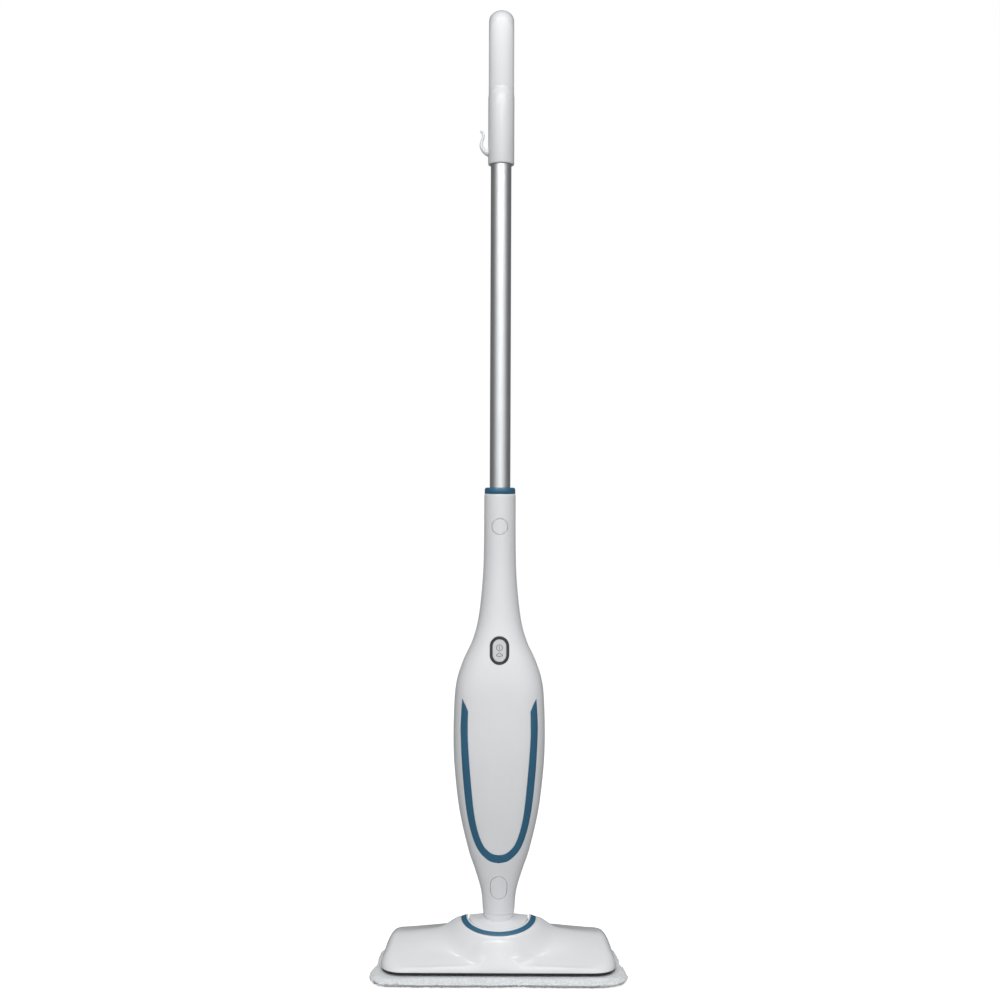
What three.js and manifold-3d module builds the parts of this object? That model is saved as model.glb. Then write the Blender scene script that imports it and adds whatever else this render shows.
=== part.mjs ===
// Steam mop: a floor head with a microfibre pad, a two-axis joint, a body with a boiler, pump and
// removable water tank, and a tube with a loop handle. Millimetres, +Z up, the front faces -Y.
import * as THREE from 'three';
import { mergeVertices } from 'three/addons/utils/BufferGeometryUtils.js';
import Module from 'manifold-3d';

const wasm = await Module();
wasm.setup();

// Driving dimensions
const GAP = 0.3;
const WALL = 2.2;
const PAD = { front: -75, back: 74, frontHalf: 156.5, backHalf: 142, corner: 38, top: 10 };
const PLATE = { bottom: 11.3, top: 14.3 };
const COVER = { front: -61, back: 62, frontHalf: 142, backHalf: 133, corner: 30, bottom: 14.6, wall: 2.6 };
const ARC = { radius: 45, band: 6, z: 63, tilt: 12 };
const COLLAR = { inner: 36.8, height: 2.5 };
const SHROUD = { radius: 35.4, swing: 38, top: 65.2, bottom: 54, wall: 2, back: 2 };
const NOTCH = { start: 2, halfWidth: 38, floor: 19, wall: 2.6 };
const TILT_Z = 32;
const SWIVEL_Z = 50;
const SWIVEL_LIMIT = 20;
const NECK = { radius: 18.5, bottom: 60, top: 69.7, spigot: 12, spigotTop: 112 };
const BODY = { bottom: 70, top: 574 };
const TANK = { face: 14, low: 150, high: 338, capZ: 300, seat: 49 };
const HEAD_BUTTON = { z: 103, half: 9.6, height: 27.6 };
const TUBE_BUTTON = { z: 535, half: 9.4 };
const SWITCH = { z: 388, half: 11.2, height: 32.4, ring: 2.7 };
const TUBE = { radius: 12.5, wall: 1.3, bottom: 504, top: 1048 };
const SLEEVE = { radius: 15.8, bottom: 973, top: 1066 };
const LOOP = { halfWidth: 15.3, halfDepth: 12.6 };
const COVER_SPLIT = { z: 1066, y: -3 };

const WHITE = { color: 0xe3e5e8, roughness: 0.28, metalness: 0 };
const MATTE_WHITE = { color: 0xdfe0e2, roughness: 0.6, metalness: 0 };
const BLUE = { color: 0x2c5f7d, roughness: 0.35, metalness: 0 };
const BLACK = { color: 0x14151a, roughness: 0.5, metalness: 0 };
const LIGHT_GREY = { color: 0xc9ccd0, roughness: 0.45, metalness: 0 };
const RUBBER = { color: 0x2a2b2e, roughness: 0.8, metalness: 0 };
const STEEL = { color: 0xb8babd, roughness: 0.3, metalness: 1 };
const ALUMINIUM = { color: 0xc4c7ca, roughness: 0.35, metalness: 1 };
const SMOKE = { color: 0x9aa4ad, roughness: 0.15, metalness: 0 };
const TERRY = { color: 0xe4e6e6, roughness: 0.95, metalness: 0 };
const BOARD = { color: 0x2f6b45, roughness: 0.6, metalness: 0 };

const steamMop = new THREE.Group();

// Solids: a closed BufferGeometry becomes a Manifold, and a Manifold becomes a named mesh.
function solid(geometry) {
  const bare = geometry.clone();
  bare.deleteAttribute('normal');
  bare.deleteAttribute('uv');
  const merged = mergeVertices(bare, 1e-4);
  const corners = merged.index.array;
  const faces = [];
  for (let k = 0; k < corners.length; k += 3) {
    const [a, b, c] = [corners[k], corners[k + 1], corners[k + 2]];
    if (a !== b && b !== c && c !== a) faces.push(a, b, c);
  }
  const build = (list) => new wasm.Manifold(new wasm.Mesh({
    numProp: 3,
    vertProperties: new Float32Array(merged.attributes.position.array),
    triVerts: new Uint32Array(list),
  }));
  const made = build(faces);
  if (made.volume() > 0) return made;
  const turned = [];
  for (let k = 0; k < faces.length; k += 3) turned.push(faces[k], faces[k + 2], faces[k + 1]);
  return build(turned);
}

function add(name, manifold, look) {
  const mesh = manifold.getMesh();
  const geometry = new THREE.BufferGeometry();
  geometry.setAttribute('position', new THREE.BufferAttribute(mesh.vertProperties, mesh.numProp));
  geometry.setIndex(new THREE.BufferAttribute(mesh.triVerts, 1));
  geometry.computeVertexNormals();
  const piece = new THREE.Mesh(geometry, new THREE.MeshStandardMaterial(look));
  piece.name = name;
  steamMop.add(piece);
}

const join = (...solids) => solids.reduce((all, next) => all.add(next));
const cut = (body, ...tools) => tools.reduce((left, tool) => left.subtract(tool), body);

function box(x, y, z) {
  const block = new THREE.BoxGeometry(x[1] - x[0], y[1] - y[0], z[1] - z[0]);
  block.translate((x[0] + x[1]) / 2, (y[0] + y[1]) / 2, (z[0] + z[1]) / 2);
  return solid(block);
}

// A round bar along one axis, from one place on it to another, through (a, b) of the other two axes.
function rod(axis, radius, from, to, a = 0, b = 0, sides = 16) {
  const bar = new THREE.CylinderGeometry(radius, radius, to - from, sides);
  const middle = (from + to) / 2;
  if (axis === 'x') bar.rotateZ(Math.PI / 2).translate(middle, a, b);
  if (axis === 'y') bar.translate(a, middle, b);
  if (axis === 'z') bar.rotateX(Math.PI / 2).translate(a, b, middle);
  return solid(bar);
}

const pipe = (axis, outer, inner, from, to, a = 0, b = 0, sides = 16) =>
  cut(rod(axis, outer, from, to, a, b, sides), rod(axis, inner, from - 1, to + 1, a, b, sides));

// A flat outline in X and Z, drawn out along Y; or one in X and Y, drawn up along Z.
const drawnOut = (shape, depth, steps) =>
  new THREE.ExtrudeGeometry(shape, { depth, bevelEnabled: false, curveSegments: steps });
function slabAlongY(shape, from, to, steps = 8) {
  return solid(drawnOut(shape, to - from, steps).rotateX(Math.PI / 2).translate(0, to, 0));
}
function slabAlongZ(shape, from, to, steps = 8) {
  return solid(drawnOut(shape, to - from, steps).translate(0, 0, from));
}

function turned(profile, sides = 32) {
  const points = profile.map(([radius, z]) => new THREE.Vector2(radius, z));
  return solid(new THREE.LatheGeometry(points, sides).rotateX(Math.PI / 2));
}

function tubeAlong(points, radius, steps, sides = 8) {
  const path = new THREE.CatmullRomCurve3(points.map((place) => new THREE.Vector3(...place)));
  const section = new THREE.Shape();
  for (let k = 0; k < sides; k += 1) {
    const turn = (2 * Math.PI * k) / sides;
    const [x, y] = [radius * Math.cos(turn), radius * Math.sin(turn)];
    if (k === 0) section.moveTo(x, y);
    else section.lineTo(x, y);
  }
  section.closePath();
  return solid(new THREE.ExtrudeGeometry(section, { steps, extrudePath: path, bevelEnabled: false }));
}

// Skin over rows of points. Each row is a closed ring; the rows are capped at both ends, or closed up.
function skin(rows, closed = false) {
  const sides = rows[0].length;
  const places = rows.flat();
  const faces = [];
  const rowCount = closed ? rows.length : rows.length - 1;
  for (let i = 0; i < rowCount; i += 1) {
    const next = (i + 1) % rows.length;
    for (let j = 0; j < sides; j += 1) {
      const k = (j + 1) % sides;
      faces.push(i * sides + j, i * sides + k, next * sides + k);
      faces.push(i * sides + j, next * sides + k, next * sides + j);
    }
  }
  if (!closed) {
    const middle = (row) => [0, 1, 2].map((n) => row.reduce((sum, p) => sum + p[n], 0) / sides);
    places.push(middle(rows[0]), middle(rows[rows.length - 1]));
    const [low, high] = [places.length - 2, places.length - 1];
    const top = (rows.length - 1) * sides;
    for (let j = 0; j < sides; j += 1) {
      const k = (j + 1) % sides;
      faces.push(low, k, j, high, top + j, top + k);
    }
  }
  const geometry = new THREE.BufferGeometry();
  geometry.setAttribute('position', new THREE.Float32BufferAttribute(places.flat(), 3));
  geometry.setIndex(faces);
  return solid(geometry);
}

// A smooth curve through [place, value] knots.
function along(knots, at) {
  const last = knots.length - 1;
  let i = 0;
  while (i < last - 1 && at > knots[i + 1][0]) i += 1;
  const slope = (k) => {
    const [before, after] = [knots[Math.max(k - 1, 0)], knots[Math.min(k + 1, last)]];
    return (after[1] - before[1]) / (after[0] - before[0]);
  };
  const span = knots[i + 1][0] - knots[i][0];
  const t = Math.min(Math.max((at - knots[i][0]) / span, 0), 1);
  const [t2, t3] = [t * t, t * t * t];
  return knots[i][1] * (2 * t3 - 3 * t2 + 1) + slope(i) * span * (t3 - 2 * t2 + t)
    + knots[i + 1][1] * (3 * t2 - 2 * t3) + slope(i + 1) * span * (t3 - t2);
}

function ovalShape(halfWidth, height, z) {
  const straight = height / 2 - halfWidth;
  const shape = new THREE.Shape();
  shape.absarc(0, z + straight, halfWidth, 0, Math.PI, false);
  shape.absarc(0, z - straight, halfWidth, Math.PI, 2 * Math.PI, false);
  return shape;
}

// ---- Body: one lofted outside, cut into front and rear shells, trim, buttons and tank ----
const BODY_HALF = [[70, 19], [94, 21.2], [118, 28], [143, 36.4], [191, 47.4], [240, 53.4], [276, 55.2],
  [324, 54.2], [349, 51.5], [373, 43.8], [397, 32.8], [421, 26.2], [458, 21.6], [494, 19.5], [574, 18.9]];
const BODY_FRONT = [[70, 19], [94, 20.5], [118, 24.5], [143, 29.5], [191, 36.5], [240, 40.5], [276, 41.5],
  [324, 40.5], [349, 39], [373, 35.5], [397, 30.5], [421, 25.8], [458, 21.6], [494, 19.5], [574, 18.9]];
const BODY_BACK = [[70, 19], [94, 22], [118, 29], [143, 38], [191, 48], [240, 53], [276, 54],
  [324, 51.5], [349, 47.5], [373, 41.5], [397, 33.5], [421, 26.8], [458, 21.8], [494, 19.5], [574, 18.9]];
// The section's roundness: 2 is an ellipse, more is squarer. The front is a flatter panel than the back.
const FRONT_FULLNESS = [[70, 2], [118, 2.2], [160, 2.7], [240, 3], [330, 3], [380, 2.6],
  [440, 2.1], [470, 2], [574, 2]];
const BACK_FULLNESS = [[70, 2], [143, 2.2], [300, 2.3], [373, 2.2], [430, 2], [574, 2]];
const BODY_SIDES = 20;
const BODY_STEP = 24;

function bodyRing(z, inset) {
  const ring = [];
  for (let k = 0; k < BODY_SIDES; k += 1) {
    const turn = (2 * Math.PI * (k + 0.5)) / BODY_SIDES;
    const [c, s] = [Math.cos(turn), Math.sin(turn)];
    const power = 2 / along(s < 0 ? FRONT_FULLNESS : BACK_FULLNESS, z);
    const depth = along(s < 0 ? BODY_FRONT : BODY_BACK, z) - inset;
    ring.push([
      (along(BODY_HALF, z) - inset) * Math.sign(c) * Math.abs(c) ** power,
      depth * Math.sign(s) * Math.abs(s) ** power,
      z,
    ]);
  }
  return ring;
}

function bodySolid(inset, from = BODY.bottom, to = BODY.top) {
  const count = Math.round((to - from) / BODY_STEP);
  const rows = [];
  for (let i = 0; i <= count; i += 1) rows.push(bodyRing(from + ((to - from) * i) / count, inset));
  return skin(rows);
}

const outside = bodySolid(0);
const inside = bodySolid(WALL, BODY.bottom - 3, BODY.top + 3);
const frontHalf = box([-80, 80], [-80, -GAP / 2], [0, 700]);
const rearHalf = box([-80, 80], [GAP / 2, 80], [0, 700]);
const BODY_SCREWS = [['upper', 0, 440], ['lower_left', -20, 132], ['lower_right', 20, 132]];
const CORD_HOOK = { z: 455, base: 23.3, plate: 44, reach: 30 };
const CORD_INLET = { z: 405, radius: 6 };

// The blue trim: a U on the front, its arms ending in slanted points. grow widens it for its groove.
function trimShape(grow) {
  const outer = [[44, 330.5], [45.6, 290], [42.7, 236], [37, 188], [27, 154], [12, 137.5]];
  const inner = [[37.2, 316], [37.3, 282], [34, 236], [28.7, 188], [20, 160], [9, 146.5]];
  const at = (x, z) => new THREE.Vector2(x, z);
  const raised = 2.5 * grow;
  const shape = new THREE.Shape();
  shape.moveTo(-outer[0][0] - grow, outer[0][1] + raised);
  shape.splineThru([
    ...outer.slice(1).map(([x, z]) => at(-x - grow, z - grow)),
    at(0, 134 - grow),
    ...outer.slice(1).reverse().map(([x, z]) => at(x + grow, z - grow)),
    at(outer[0][0] + grow, outer[0][1] + raised),
  ]);
  shape.lineTo(inner[0][0] - grow, inner[0][1] + raised);
  shape.splineThru([
    ...inner.slice(1).map(([x, z]) => at(x - grow, z + grow)),
    at(0, 143.7 + grow),
    ...inner.slice(1).reverse().map(([x, z]) => at(-x + grow, z + grow)),
    at(-inner[0][0] + grow, inner[0][1] + raised),
  ]);
  return shape;
}

const roundShape = (radius, z) => ovalShape(radius, 2 * radius, z);
const onFront = (shape, steps) => slabAlongY(shape, -80, -4, steps);

function screwBoss(x, z, radius, from, to) {
  return rod('y', radius, from, to, x, z, 10).intersect(bodySolid(1));
}

function bodyFrontShell() {
  let shell = outside.subtract(inside).intersect(frontHalf);
  for (const [, x, z] of BODY_SCREWS) {
    shell = cut(shell.add(screwBoss(x, z, 4, -60, 3)), rod('y', 1.9, -14, 10, x, z, 10));
  }
  return cut(
    shell,
    onFront(trimShape(1.5 * GAP), 3).subtract(bodySolid(1.5)),
    onFront(ovalShape(SWITCH.half + GAP, SWITCH.height + 2 * GAP, SWITCH.z)),
    onFront(roundShape(TUBE_BUTTON.half + GAP, TUBE_BUTTON.z)),
    onFront(ovalShape(HEAD_BUTTON.half + GAP, HEAD_BUTTON.height + 2 * GAP, HEAD_BUTTON.z)),
  );
}

const tankSpace = (grow) =>
  box([-90, 90], [TANK.face - grow, 90], [TANK.low - grow, TANK.high + grow]);
const TANK_PORT = { x: 31, z: 168, radius: 4 };

function bodyRearShell() {
  const cavity = cut(inside, tankSpace(WALL));
  let shell = cut(outside, cavity, tankSpace(0)).intersect(rearHalf);
  shell = cut(shell, rod('y', TANK_PORT.radius + 0.8, 0, 30, TANK_PORT.x, TANK_PORT.z));
  for (const [, x, z] of BODY_SCREWS) {
    shell = shell.add(screwBoss(x, z, 5.4, 3.4, 60));
    shell = cut(shell, rod('y', 1.9, 0, 60, x, z, 10), rod('y', 3.6, 12, 60, x, z, 12));
  }
  shell = shell.add(screwBoss(0, CORD_HOOK.z, 5, 10, 60));
  return cut(
    shell,
    rod('y', 2.7, 0, 60, 0, CORD_HOOK.z, 12),
    rod('y', CORD_INLET.radius + GAP, 10, 60, 0, CORD_INLET.z),
  );
}

function waterTank() {
  const room = box([-90, 90], [TANK.face + 0.4, 90], [TANK.low + 0.4, TANK.high - 0.4]);
  const hollow = box([-90, 90], [TANK.face + 2.4, 90], [TANK.low + 2.4, TANK.high - 2.4]);
  const shell = outside.intersect(room).subtract(bodySolid(2).intersect(hollow));
  const filler = rod('y', 19, 36, 60, 0, TANK.capZ, 24).intersect(outside);
  const port = rod('y', TANK_PORT.radius, 3, TANK.face + 1, TANK_PORT.x, TANK_PORT.z);
  return cut(
    join(shell, filler, port),
    rod('y', 16.6, TANK.seat, 80, 0, TANK.capZ, 24),
    rod('y', 11, 30, 80, 0, TANK.capZ, 24),
    rod('y', 2, 0, 20, TANK_PORT.x, TANK_PORT.z, 10),
  );
}

function tankCap() {
  const flange = rod('y', 16, TANK.seat + GAP, TANK.seat + 6, 0, TANK.capZ, 24);
  const plug = rod('y', 10.6, TANK.seat - 8, TANK.seat + 1, 0, TANK.capZ, 24);
  const dip = (from, to) => box([from, to], [TANK.seat + 2.5, 80], [TANK.capZ - 14, TANK.capZ + 14]);
  const rim = pipe('y', 16, 13, TANK.seat + GAP, TANK.seat + 6, 0, TANK.capZ, 24);
  return cut(flange, dip(-20, -3), dip(3, 20)).add(rim).add(plug);
}

add('body_front_shell', bodyFrontShell(), WHITE);
add('body_rear_shell', bodyRearShell(), WHITE);
add('body_trim', onFront(trimShape(0), 3).intersect(cut(outside, bodySolid(1.2))), BLUE);
add('water_tank', waterTank(), SMOKE);
add('tank_cap', tankCap(), BLUE);
for (const [name, x, z] of BODY_SCREWS) {
  add(`body_screw_${name}`, rod('y', 1.5, -12, 13, x, z, 8).add(rod('y', 3.2, 12.3, 15, x, z, 10)), STEEL);
}
add('tank_dock', cut(pipe('y', 7, TANK_PORT.radius + GAP, -2, 11.5, TANK_PORT.x, TANK_PORT.z, 16),
  rod('y', 5, 9, 12, TANK_PORT.x, TANK_PORT.z, 16)), RUBBER);

// Buttons: a cap that follows the body's outside, and what it pushes behind it
const bodySkin = (depth) => cut(outside, bodySolid(depth));

function headReleaseButton() {
  const { z } = HEAD_BUTTON;
  const cap = onFront(ovalShape(HEAD_BUTTON.half, HEAD_BUTTON.height, z)).intersect(bodySkin(WALL));
  const post = box([-4, 4], [-20.5, -17.5], [z - 3, z + 3]);
  const ring = pipe('z', 18, 15.4, z - 3, z + 3, 0, 0, 24);
  const tooth = box([-5, 5], [NECK.spigot + 0.4, 16.4], [z - 1.5, z + 1.5]);
  return join(cap, post, ring, tooth);
}

function tubeReleaseButton() {
  const { z } = TUBE_BUTTON;
  const cap = onFront(roundShape(TUBE_BUTTON.half, z)).intersect(bodySkin(1.6));
  return cap.add(rod('y', 3, -TUBE_BUTTON.half * 2 + 0.6, -TUBE.radius - 0.4, 0, z, 12));
}

const bezelOuter = onFront(ovalShape(SWITCH.half, SWITCH.height, SWITCH.z));
const switchHole = SWITCH.half - SWITCH.ring;
const bezelHole = onFront(ovalShape(switchHole, SWITCH.height - 2 * SWITCH.ring, SWITCH.z));
const buttonShape = ovalShape(switchHole - GAP, SWITCH.height - 2 * SWITCH.ring - 2 * GAP, SWITCH.z);
const proud = bodySolid(-0.5);
add('head_release_button', headReleaseButton(), WHITE);
add('tube_release_button', tubeReleaseButton(), WHITE);
add('latch_spring', box([-5, 5], [18.3, 18.8], [HEAD_BUTTON.z - 5, HEAD_BUTTON.z + 5])
  .add(box([-1.5, 1.5], [18.6, 20.6], [HEAD_BUTTON.z + 3.4, HEAD_BUTTON.z + 5])), STEEL);
add('switch_bezel', cut(bezelOuter.intersect(cut(proud, bodySolid(3))), bezelHole), BLACK);
add('steam_button', onFront(buttonShape).intersect(cut(proud, bodySolid(3)))
  .add(rod('y', 3, -30, -21, 0, SWITCH.z, 12)), LIGHT_GREY);

// Inside the body: switch, board, pump, boiler and hoses
function boiler() {
  const corner = 6;
  const [x, front, back] = [22, -25, -4];
  const shape = new THREE.Shape();
  shape.absarc(x - corner, back - corner, corner, 0, Math.PI / 2, false);
  shape.absarc(-x + corner, back - corner, corner, Math.PI / 2, Math.PI, false);
  shape.absarc(-x + corner, front + corner, corner, Math.PI, 1.5 * Math.PI, false);
  shape.absarc(x - corner, front + corner, corner, 1.5 * Math.PI, 2 * Math.PI, false);
  return join(
    slabAlongZ(shape, 172, 248, 3),
    rod('z', 4.5, 165, 173, 0, -13, 12),
    rod('z', 3.5, 247, 253, -13, -14, 10),
  );
}

add('switch_module', box([-8, 8], [-19.2, -12], [SWITCH.z - 12, SWITCH.z + 12]), BLACK);
add('circuit_board', box([-14, 14], [-11.6, -10], [SWITCH.z - 24, SWITCH.z + 22]), BOARD);
add('boiler', boiler(), ALUMINIUM);
add('thermostat', rod('z', 8, 248.3, 254, 6, -14, 16), BLACK);
add('pump', join(
  rod('z', 12, 276, 322, 16, -12, 18),
  rod('z', 3.5, 272, 277, 16, -12, 10),
  rod('z', 3.5, 321, 327, 16, -12, 10),
), BLACK);
add('water_hose_from_tank', tubeAlong([[31, -2.5, 168], [31, -9, 172], [32, -12, 190], [32, -12, 235],
  [26, -12, 256], [17, -12, 263], [16, -12, 271.6]], 3, 18, 6), RUBBER);
add('water_hose_to_boiler', tubeAlong([[16, -12, 327.4], [15, -12, 338], [2, -13, 347], [-12, -13, 338],
  [-14, -13, 310], [-13, -14, 275], [-13, -14, 253.4]], 3, 20, 6), RUBBER);
const steamHosePath = [[0, -13, 164.6], [0, -12, 152], [0, -4, 134], [0, 0, 122], [0, 0, 112.6]];
add('steam_hose', tubeAlong(steamHosePath, 4, 10),
  RUBBER);
add('cord_inlet', cut(join(rod('y', CORD_INLET.radius, 20, 34, 0, CORD_INLET.z, 16),
  rod('y', 8, 20, 24, 0, CORD_INLET.z, 16)), rod('y', 3.4, 10, 40, 0, CORD_INLET.z, 12)), BLACK);

// ---- Neck, yoke and head ----
const HEAD_SCREWS = [[-100, 10], [100, 10]];
const NOZZLE_Y = -36;

function neck() {
  const disc = turned([[0, NECK.bottom], [NECK.radius - 1, NECK.bottom], [NECK.radius, NECK.bottom + 1],
    [NECK.radius, NECK.top], [NECK.spigot, NECK.top], [NECK.spigot, NECK.spigotTop - 1],
    [NECK.spigot - 1, NECK.spigotTop], [0, NECK.spigotTop]], 20);
  const tongue = join(
    rod('y', 8.5, -6.7, 6.7, 0, SWIVEL_Z, 20),
    box([-8.5, 8.5], [-6.7, 6.7], [SWIVEL_Z, NECK.bottom + 2]),
  );
  const grooves = [90, HEAD_BUTTON.z]
    .map((z) => pipe('z', NECK.spigot + 2, 10, z - 2.2, z + 2.2, 0, 0, 16));
  return cut(join(disc, tongue), ...grooves, rod('z', 3.2, 80, 120), rod('y', 3.3, -8, 8, 0, SWIVEL_Z));
}

function yoke() {
  const barrel = rod('x', 9, -24.6, 24.6, 0, TILT_Z, 20);
  const cheek = (from, to) => join(
    rod('y', 9, from, to, 0, SWIVEL_Z, 20),
    box([-9, 9], [from, to], [TILT_Z, SWIVEL_Z]),
  );
  const spigot = rod('y', 3, -16, -8, 0, TILT_Z, 12);
  const hollow = box([-12, 12], [-7, 7], [TILT_Z + 9.1, SWIVEL_Z + 20]);
  return cut(
    join(barrel, cheek(-11, -7), cheek(7, 11), spigot),
    hollow,
    rod('x', 3.3, -30, 30, 0, TILT_Z),
    rod('y', 3.3, -12, 12, 0, SWIVEL_Z),
  );
}

function hingeBracket() {
  const ear = (from, to) => join(
    rod('x', 8, from, to, 0, TILT_Z),
    box([from, to], [-8, 8], [PLATE.top + GAP, TILT_Z]),
  );
  const floor = box([-31, 31], [-14, 14], [PLATE.top + GAP, PLATE.top + 3]);
  return cut(join(ear(-31, -25), ear(25, 31), floor), rod('x', 3.3, -40, 40, 0, TILT_Z));
}

add('neck', neck(), WHITE);
add('neck_seal_ring', pipe('z', 12.8, 10.4, 88.4, 91.6, 0, 0, 16), RUBBER);
add('yoke', yoke(), BLACK);
add('swivel_pin', rod('y', 3, -12, 12, 0, SWIVEL_Z, 12), STEEL);
add('tilt_pin', rod('x', 3, -32, 32, 0, TILT_Z, 12), STEEL);
add('hinge_bracket', hingeBracket(), BLACK);

// A rounded outline that is wider in front than behind, as a shape in X and Y.
function footprint({ front, back, frontHalf, backHalf, corner }, inset = 0) {
  const [low, high] = [front + inset, back - inset];
  const [wide, narrow] = [frontHalf - inset, backHalf - inset];
  const lean = (narrow - wide) / (high - low);
  const side = (y) => wide + lean * (y - low);
  const r = corner - inset;
  const shape = new THREE.Shape();
  shape.moveTo(0, low);
  shape.lineTo(wide - r, low);
  shape.quadraticCurveTo(wide - 0.12 * r, low + 0.06 * r, side(low + r), low + r);
  shape.lineTo(side(high - r), high - r);
  shape.quadraticCurveTo(narrow - 0.12 * r, high - 0.06 * r, narrow - r, high);
  shape.lineTo(-narrow + r, high);
  shape.quadraticCurveTo(-narrow + 0.12 * r, high - 0.06 * r, -side(high - r), high - r);
  shape.lineTo(-side(low + r), low + r);
  shape.quadraticCurveTo(-wide + 0.12 * r, low + 0.06 * r, -wide + r, low);
  shape.closePath();
  return shape;
}

// Heights of the cover: a wedge that rises from the front edge, and a dome up to the blue arc. The dome is
// only in front: behind the neck it falls away.
const WEDGE = [[-61, 20], [-45, 28], [-20, 39], [8, 45.5], [35, 42], [62, 32]];
const arcHeight = (y) => ARC.z - 1 + y * Math.sin(THREE.MathUtils.degToRad(ARC.tilt));

function coverHeight(x, y) {
  const forward = THREE.MathUtils.clamp(-y / ARC.radius, 0, 1);
  const away = Math.max(Math.hypot(x, y) - ARC.radius, 0);
  const near = 0.75 * Math.exp(-((away / (17 - 6 * forward)) ** 2));
  const far = 0.25 * Math.exp(-((away / (60 - 49 * forward)) ** 2));
  const behind = THREE.MathUtils.smoothstep(y, 2, 20);
  const wedge = along(WEDGE, y) * (1 - 0.1 * THREE.MathUtils.smoothstep(Math.abs(x), 40, 130));
  const dome = arcHeight(THREE.MathUtils.clamp(y, -ARC.radius, 0)) - wedge;
  return wedge + dome * (near * (1 - behind) + far * (1 - 0.6 * behind));
}

function headCover() {
  const sides = 56;
  const steps = [0, 0.02, 0.06, 0.13, 0.25, 0.4, 0.58, 0.78, 1];
  const hub = ARC.radius + GAP;
  const ringAt = (inset, share, drop) => footprint(COVER, inset).getSpacedPoints(sides).slice(0, sides)
    .map((edge) => {
      const turn = Math.atan2(edge.y * 2, edge.x);
      const [x, y] = [
        THREE.MathUtils.lerp(edge.x, hub * Math.cos(turn), share),
        THREE.MathUtils.lerp(edge.y, hub * Math.sin(turn), share),
      ];
      const fromEdge = Math.hypot(x - edge.x, y - edge.y);
      const softness = 6 + 8 * THREE.MathUtils.smoothstep(Math.abs(edge.x), 90, 130);
      const rise = Math.sqrt(1 - (1 - Math.min(fromEdge / softness, 1)) ** 2);
      const z = COVER.bottom + (coverHeight(x, y) - COVER.bottom) * rise - drop;
      return [x, y, Math.max(z, COVER.bottom)];
    });
  const top = steps.map((share) => ringAt(0, share, 0));
  const under = steps.map((share) => ringAt(COVER.wall, share, share === 0 ? 0 : COVER.wall));
  const outer = skin([...top, top[top.length - 1].map(([x, y]) => [x, y, COVER.bottom])]);
  const shell = skin([...top, ...under.reverse()], true);
  const posts = HEAD_SCREWS.map(([x, y]) => rod('z', 4.5, COVER.bottom, 60, x, y, 12).intersect(outer));
  const holes = HEAD_SCREWS.map(([x, y]) => rod('z', 1.8, 0, 28, x, y, 10));
  const recess = cut(neckNotch(NOTCH.wall), neckNotch(0)).intersect(outer)
    .intersect(box([-90, 90], [16, 90], [0, 100]));
  return cut(join(shell, ...posts), ...holes, neckNotch(0)).add(recess);
}

// Room behind the neck, where the pole leans back and swings. grow makes it larger, for walls and floor.
function neckNotch(grow) {
  const spread = Math.tan(THREE.MathUtils.degToRad(SWIVEL_LIMIT));
  const [start, end] = [NOTCH.start - grow, 90];
  const half = (y) => NOTCH.halfWidth + grow + y * spread;
  const shape = new THREE.Shape();
  shape.moveTo(-half(start), start);
  shape.lineTo(half(start), start);
  shape.lineTo(half(end), end);
  shape.lineTo(-half(end), end);
  shape.closePath();
  return slabAlongZ(shape, NOTCH.floor - grow, 100);
}

const leant = (piece) => piece.translate([0, 0, -ARC.z]).rotate([ARC.tilt, 0, 0]).translate([0, 0, ARC.z]);

const behindNeck = () => box([-90, 90], [NOTCH.start, 90], [0, 200]);

function blueArc() {
  const inner = ARC.radius - ARC.band;
  const ring = turned([[inner, ARC.z - 4], [ARC.radius, ARC.z - 5], [ARC.radius, ARC.z - 1.4],
    [ARC.radius - 0.8, ARC.z - 0.8], [inner, ARC.z + 1], [inner, ARC.z - 4]], 48);
  return cut(leant(ring), behindNeck());
}

function jointCollar() {
  const [outer, { inner }] = [ARC.radius - ARC.band - GAP, COLLAR];
  const rim = ARC.z + 1.5;
  const [low, shoulder] = [rim - COLLAR.height, rim - 0.4];
  const ring = turned([[outer, low], [outer, shoulder], [inner + 0.4, rim], [inner, shoulder],
    [inner, low], [outer, low]], 48);
  return cut(leant(ring), behindNeck());
}

// The cover around the neck, which swings with it inside the collar. It slopes down to the front.
function jointShroud() {
  const { radius, swing, top, bottom, wall, back } = SHROUD;
  const [rim, root, fall] = [radius + 8, bottom - 20, 2.3];
  const cone = (drop) => turned([[0, root], [rim, root], [rim, top - fall - drop],
    [NECK.radius, top - drop], [0, top - drop]], 40);
  const leaning = (drop) => cone(drop).translate([0, 0, -top])
    .rotate([ARC.tilt, 0, 0]).translate([0, 0, top]);
  const room = (inset) => rod('z', radius - inset, bottom - inset, 90, 0, 0, 40)
    .intersect(rod('y', swing - inset, -50, back, 0, SWIVEL_Z, 48));
  const outside = leaning(0).intersect(room(0)).intersect(rod('z', radius, bottom, 90, 0, 0, 40));
  return cut(outside, leaning(wall).intersect(room(wall)), rod('z', NECK.radius + GAP, 0, 100, 0, 0, 20));
}

function basePlate() {
  const plate = slabAlongZ(footprint(COVER, 1.2), PLATE.bottom, PLATE.top, 6);
  const holes = HEAD_SCREWS.map(([x, y]) => rod('z', 3.7, 0, 30, x, y, 12));
  return cut(plate, ...holes, rod('z', 5.3, 0, 30, 0, NOZZLE_Y));
}

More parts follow.
